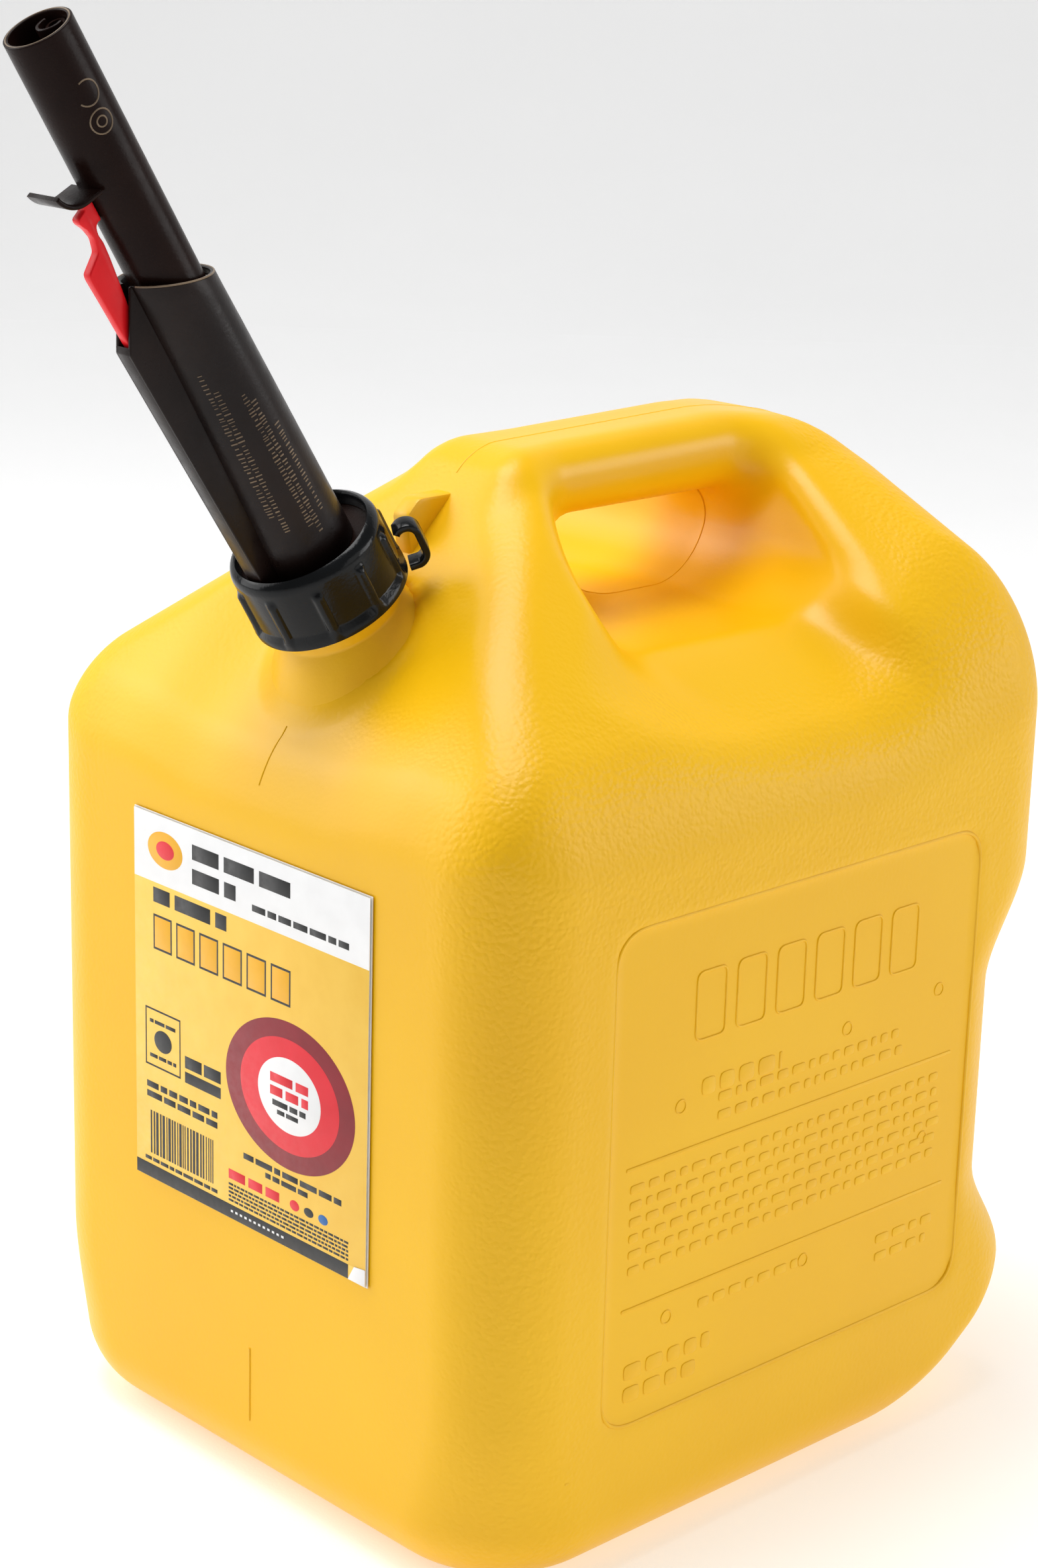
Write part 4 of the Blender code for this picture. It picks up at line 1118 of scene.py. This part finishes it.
def build_latch():
    """The flat red latch: fixed end under the hook, thumb step, barb and a leg down the channel."""
    outer = [(15.0, 172.3), (15.4, 169.2), (19.0, 168.2), (19.4, 166.8), (17.8, 163.4)]
    outer += [(17.0, 159.6), (18.2, 155.2), (24.6, 151.4), (25.0, 149.6)]
    outer += [(24.6, 141.0), (24.2, 130.0), (23.5, 112.0)]
    inner = [(20.6, 110.6), (18.0, 131.0), (16.9, 139.0), (15.2, 152.0), (14.8, 157.0)]
    inner += [(15.2, 160.0), (14.6, 162.4), (13.2, 163.4), (11.8, 163.2), (11.8, 172.3)]
    outline = rounded(mm_points(outer + inner), 0.9 * MM, 3)
    latch = plate("latch", outline, LATCH_THICKNESS, SPOUT_PLANE, 0.45 * MM)
    piece("latch", latch, "latch", "latch", 50, "safety_latch")


def build_return_spring():
    """The coil under the piston, built at one length with a mesh of its own; in the can it shortens as the
    nozzle is pushed in.
    """
    path = []
    count = SPRING_TURNS * SPRING_STEPS
    for i in range(count + 1):
        height = SPRING_BOTTOM + i / count * (SPRING_TOP - SPRING_BOTTOM)
        path.append(round_spout(SPRING_RADIUS, 2 * math.pi * i / SPRING_STEPS, height))
    coil = tube_mesh("spring_coil", path, SPRING_WIRE)
    coil = piece("spring_coil", coil, "spring", "spout_base", 60, "return_spring")
    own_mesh(coil)


# ---- pieces kept from the CAD


def dress_cad_pieces():
    """Materials and smooth shading for the CAD nodes that stay visible."""
    kept = {
        "natural": "flame_arrester_frame housing_guide_bush valve_seat_tube valve_stem valve_poppet",
        "rubber": "neck_gasket piston_o_ring_upper piston_o_ring_lower poppet_seal",
        "spring": "spring_seat_washer",
        "screen": "flame_arrester_screen",
        "spout": "spout_base_ring air_vent_tube",
        "film": "label_base_ply label_leaf",
    }
    for material, nodes in kept.items():
        for name in nodes.split():
            dress(frame["nodes"][name].data, material, 40)


# ---- floor, lights and camera


def build_floor():
    """A pale paper sweep: flat under the can, curving up far behind it as the camera sees it."""
    line = [(-6.0, 0.0), (2.5, 0.0)] + arc((2.5, 1.5), 1.5, -90, 0, 16) + [(4.0, 6.0)]
    turn = Matrix.Rotation(CAMERA_AZIMUTH, 4, "Z")
    points = [turn @ Vector((side * 7.0, along, height)) for along, height in line for side in (-1, 1)]
    faces = [(2 * i, 2 * i + 1, 2 * i + 3, 2 * i + 2) for i in range(len(line) - 1)]
    add_object("floor", welded("floor", points, faces), "floor", 60)


def area_light(name, place, size, power):
    """A rectangular light at a place, facing the middle of the can."""
    light = bpy.data.lights.new(name, "AREA")
    light.shape = "RECTANGLE"
    light.size, light.size_y = size
    light.energy = power
    obj = bpy.data.objects.new(name, light)
    bpy.context.scene.collection.objects.link(obj)
    obj.location = place
    obj.rotation_euler = (Vector(LIGHT_TARGET) - Vector(place)).to_track_quat("-Z", "Y").to_euler()


def build_lights():
    area_light("key", (-1.5, -1.4, 1.0), (1.2, 1.6), 16)
    area_light("overhead", (-0.15, -0.2, 1.6), (0.8, 0.8), 15)
    area_light("left", (-1.2, -0.7, 1.3), (0.9, 0.9), 7)
    area_light("rear_right", (1.5, 1.6, 0.8), (1.2, 0.8), 13)
    area_light("side", (2.2, 0.5, 0.9), (1.2, 1.2), 4)
    world = bpy.data.worlds.new("studio")
    bpy.context.scene.world = world
    world.use_nodes = True
    sky = world.node_tree.nodes["Background"]
    sky.inputs["Color"].default_value = (1.0, 1.0, 1.0, 1)
    sky.inputs["Strength"].default_value = 0.24
    bpy.context.scene.view_settings.view_transform = "Standard"


def build_camera():
    """The photograph's viewpoint: a short telephoto from the front right, a little above."""
    flat = math.cos(CAMERA_ELEVATION)
    back = Vector(
        (math.sin(CAMERA_AZIMUTH) * flat, -math.cos(CAMERA_AZIMUTH) * flat, math.sin(CAMERA_ELEVATION))
    )
    level = Vector((math.cos(CAMERA_AZIMUTH), math.sin(CAMERA_AZIMUTH), 0))
    upright = back.cross(level)
    right = math.cos(CAMERA_ROLL) * level + math.sin(CAMERA_ROLL) * upright
    up = math.cos(CAMERA_ROLL) * upright - math.sin(CAMERA_ROLL) * level
    camera = bpy.data.cameras.new("camera")
    camera.lens = CAMERA_LENS
    camera.sensor_width = 36.0
    camera.sensor_fit = "AUTO"
    obj = bpy.data.objects.new("camera", camera)
    bpy.context.scene.collection.objects.link(obj)
    turn = Matrix((right, up, back)).transposed().to_4x4()
    obj.matrix_world = Matrix.Translation(CAMERA_PLACE) @ turn
    bpy.context.scene.camera = obj


def main():
    build_camera()
    build_lights()
    build_floor()
    build_skin()
    build_neck()
    build_fin()
    build_parting_line()
    build_panels()
    build_label()
    build_collar()
    build_housing()
    build_channel()
    build_housing_marks()
    build_nozzle()
    build_mouth_wall()
    build_nozzle_marks()
    build_latch()
    build_return_spring()
    dress_cad_pieces()


main()
bpy.context.view_layer.update()
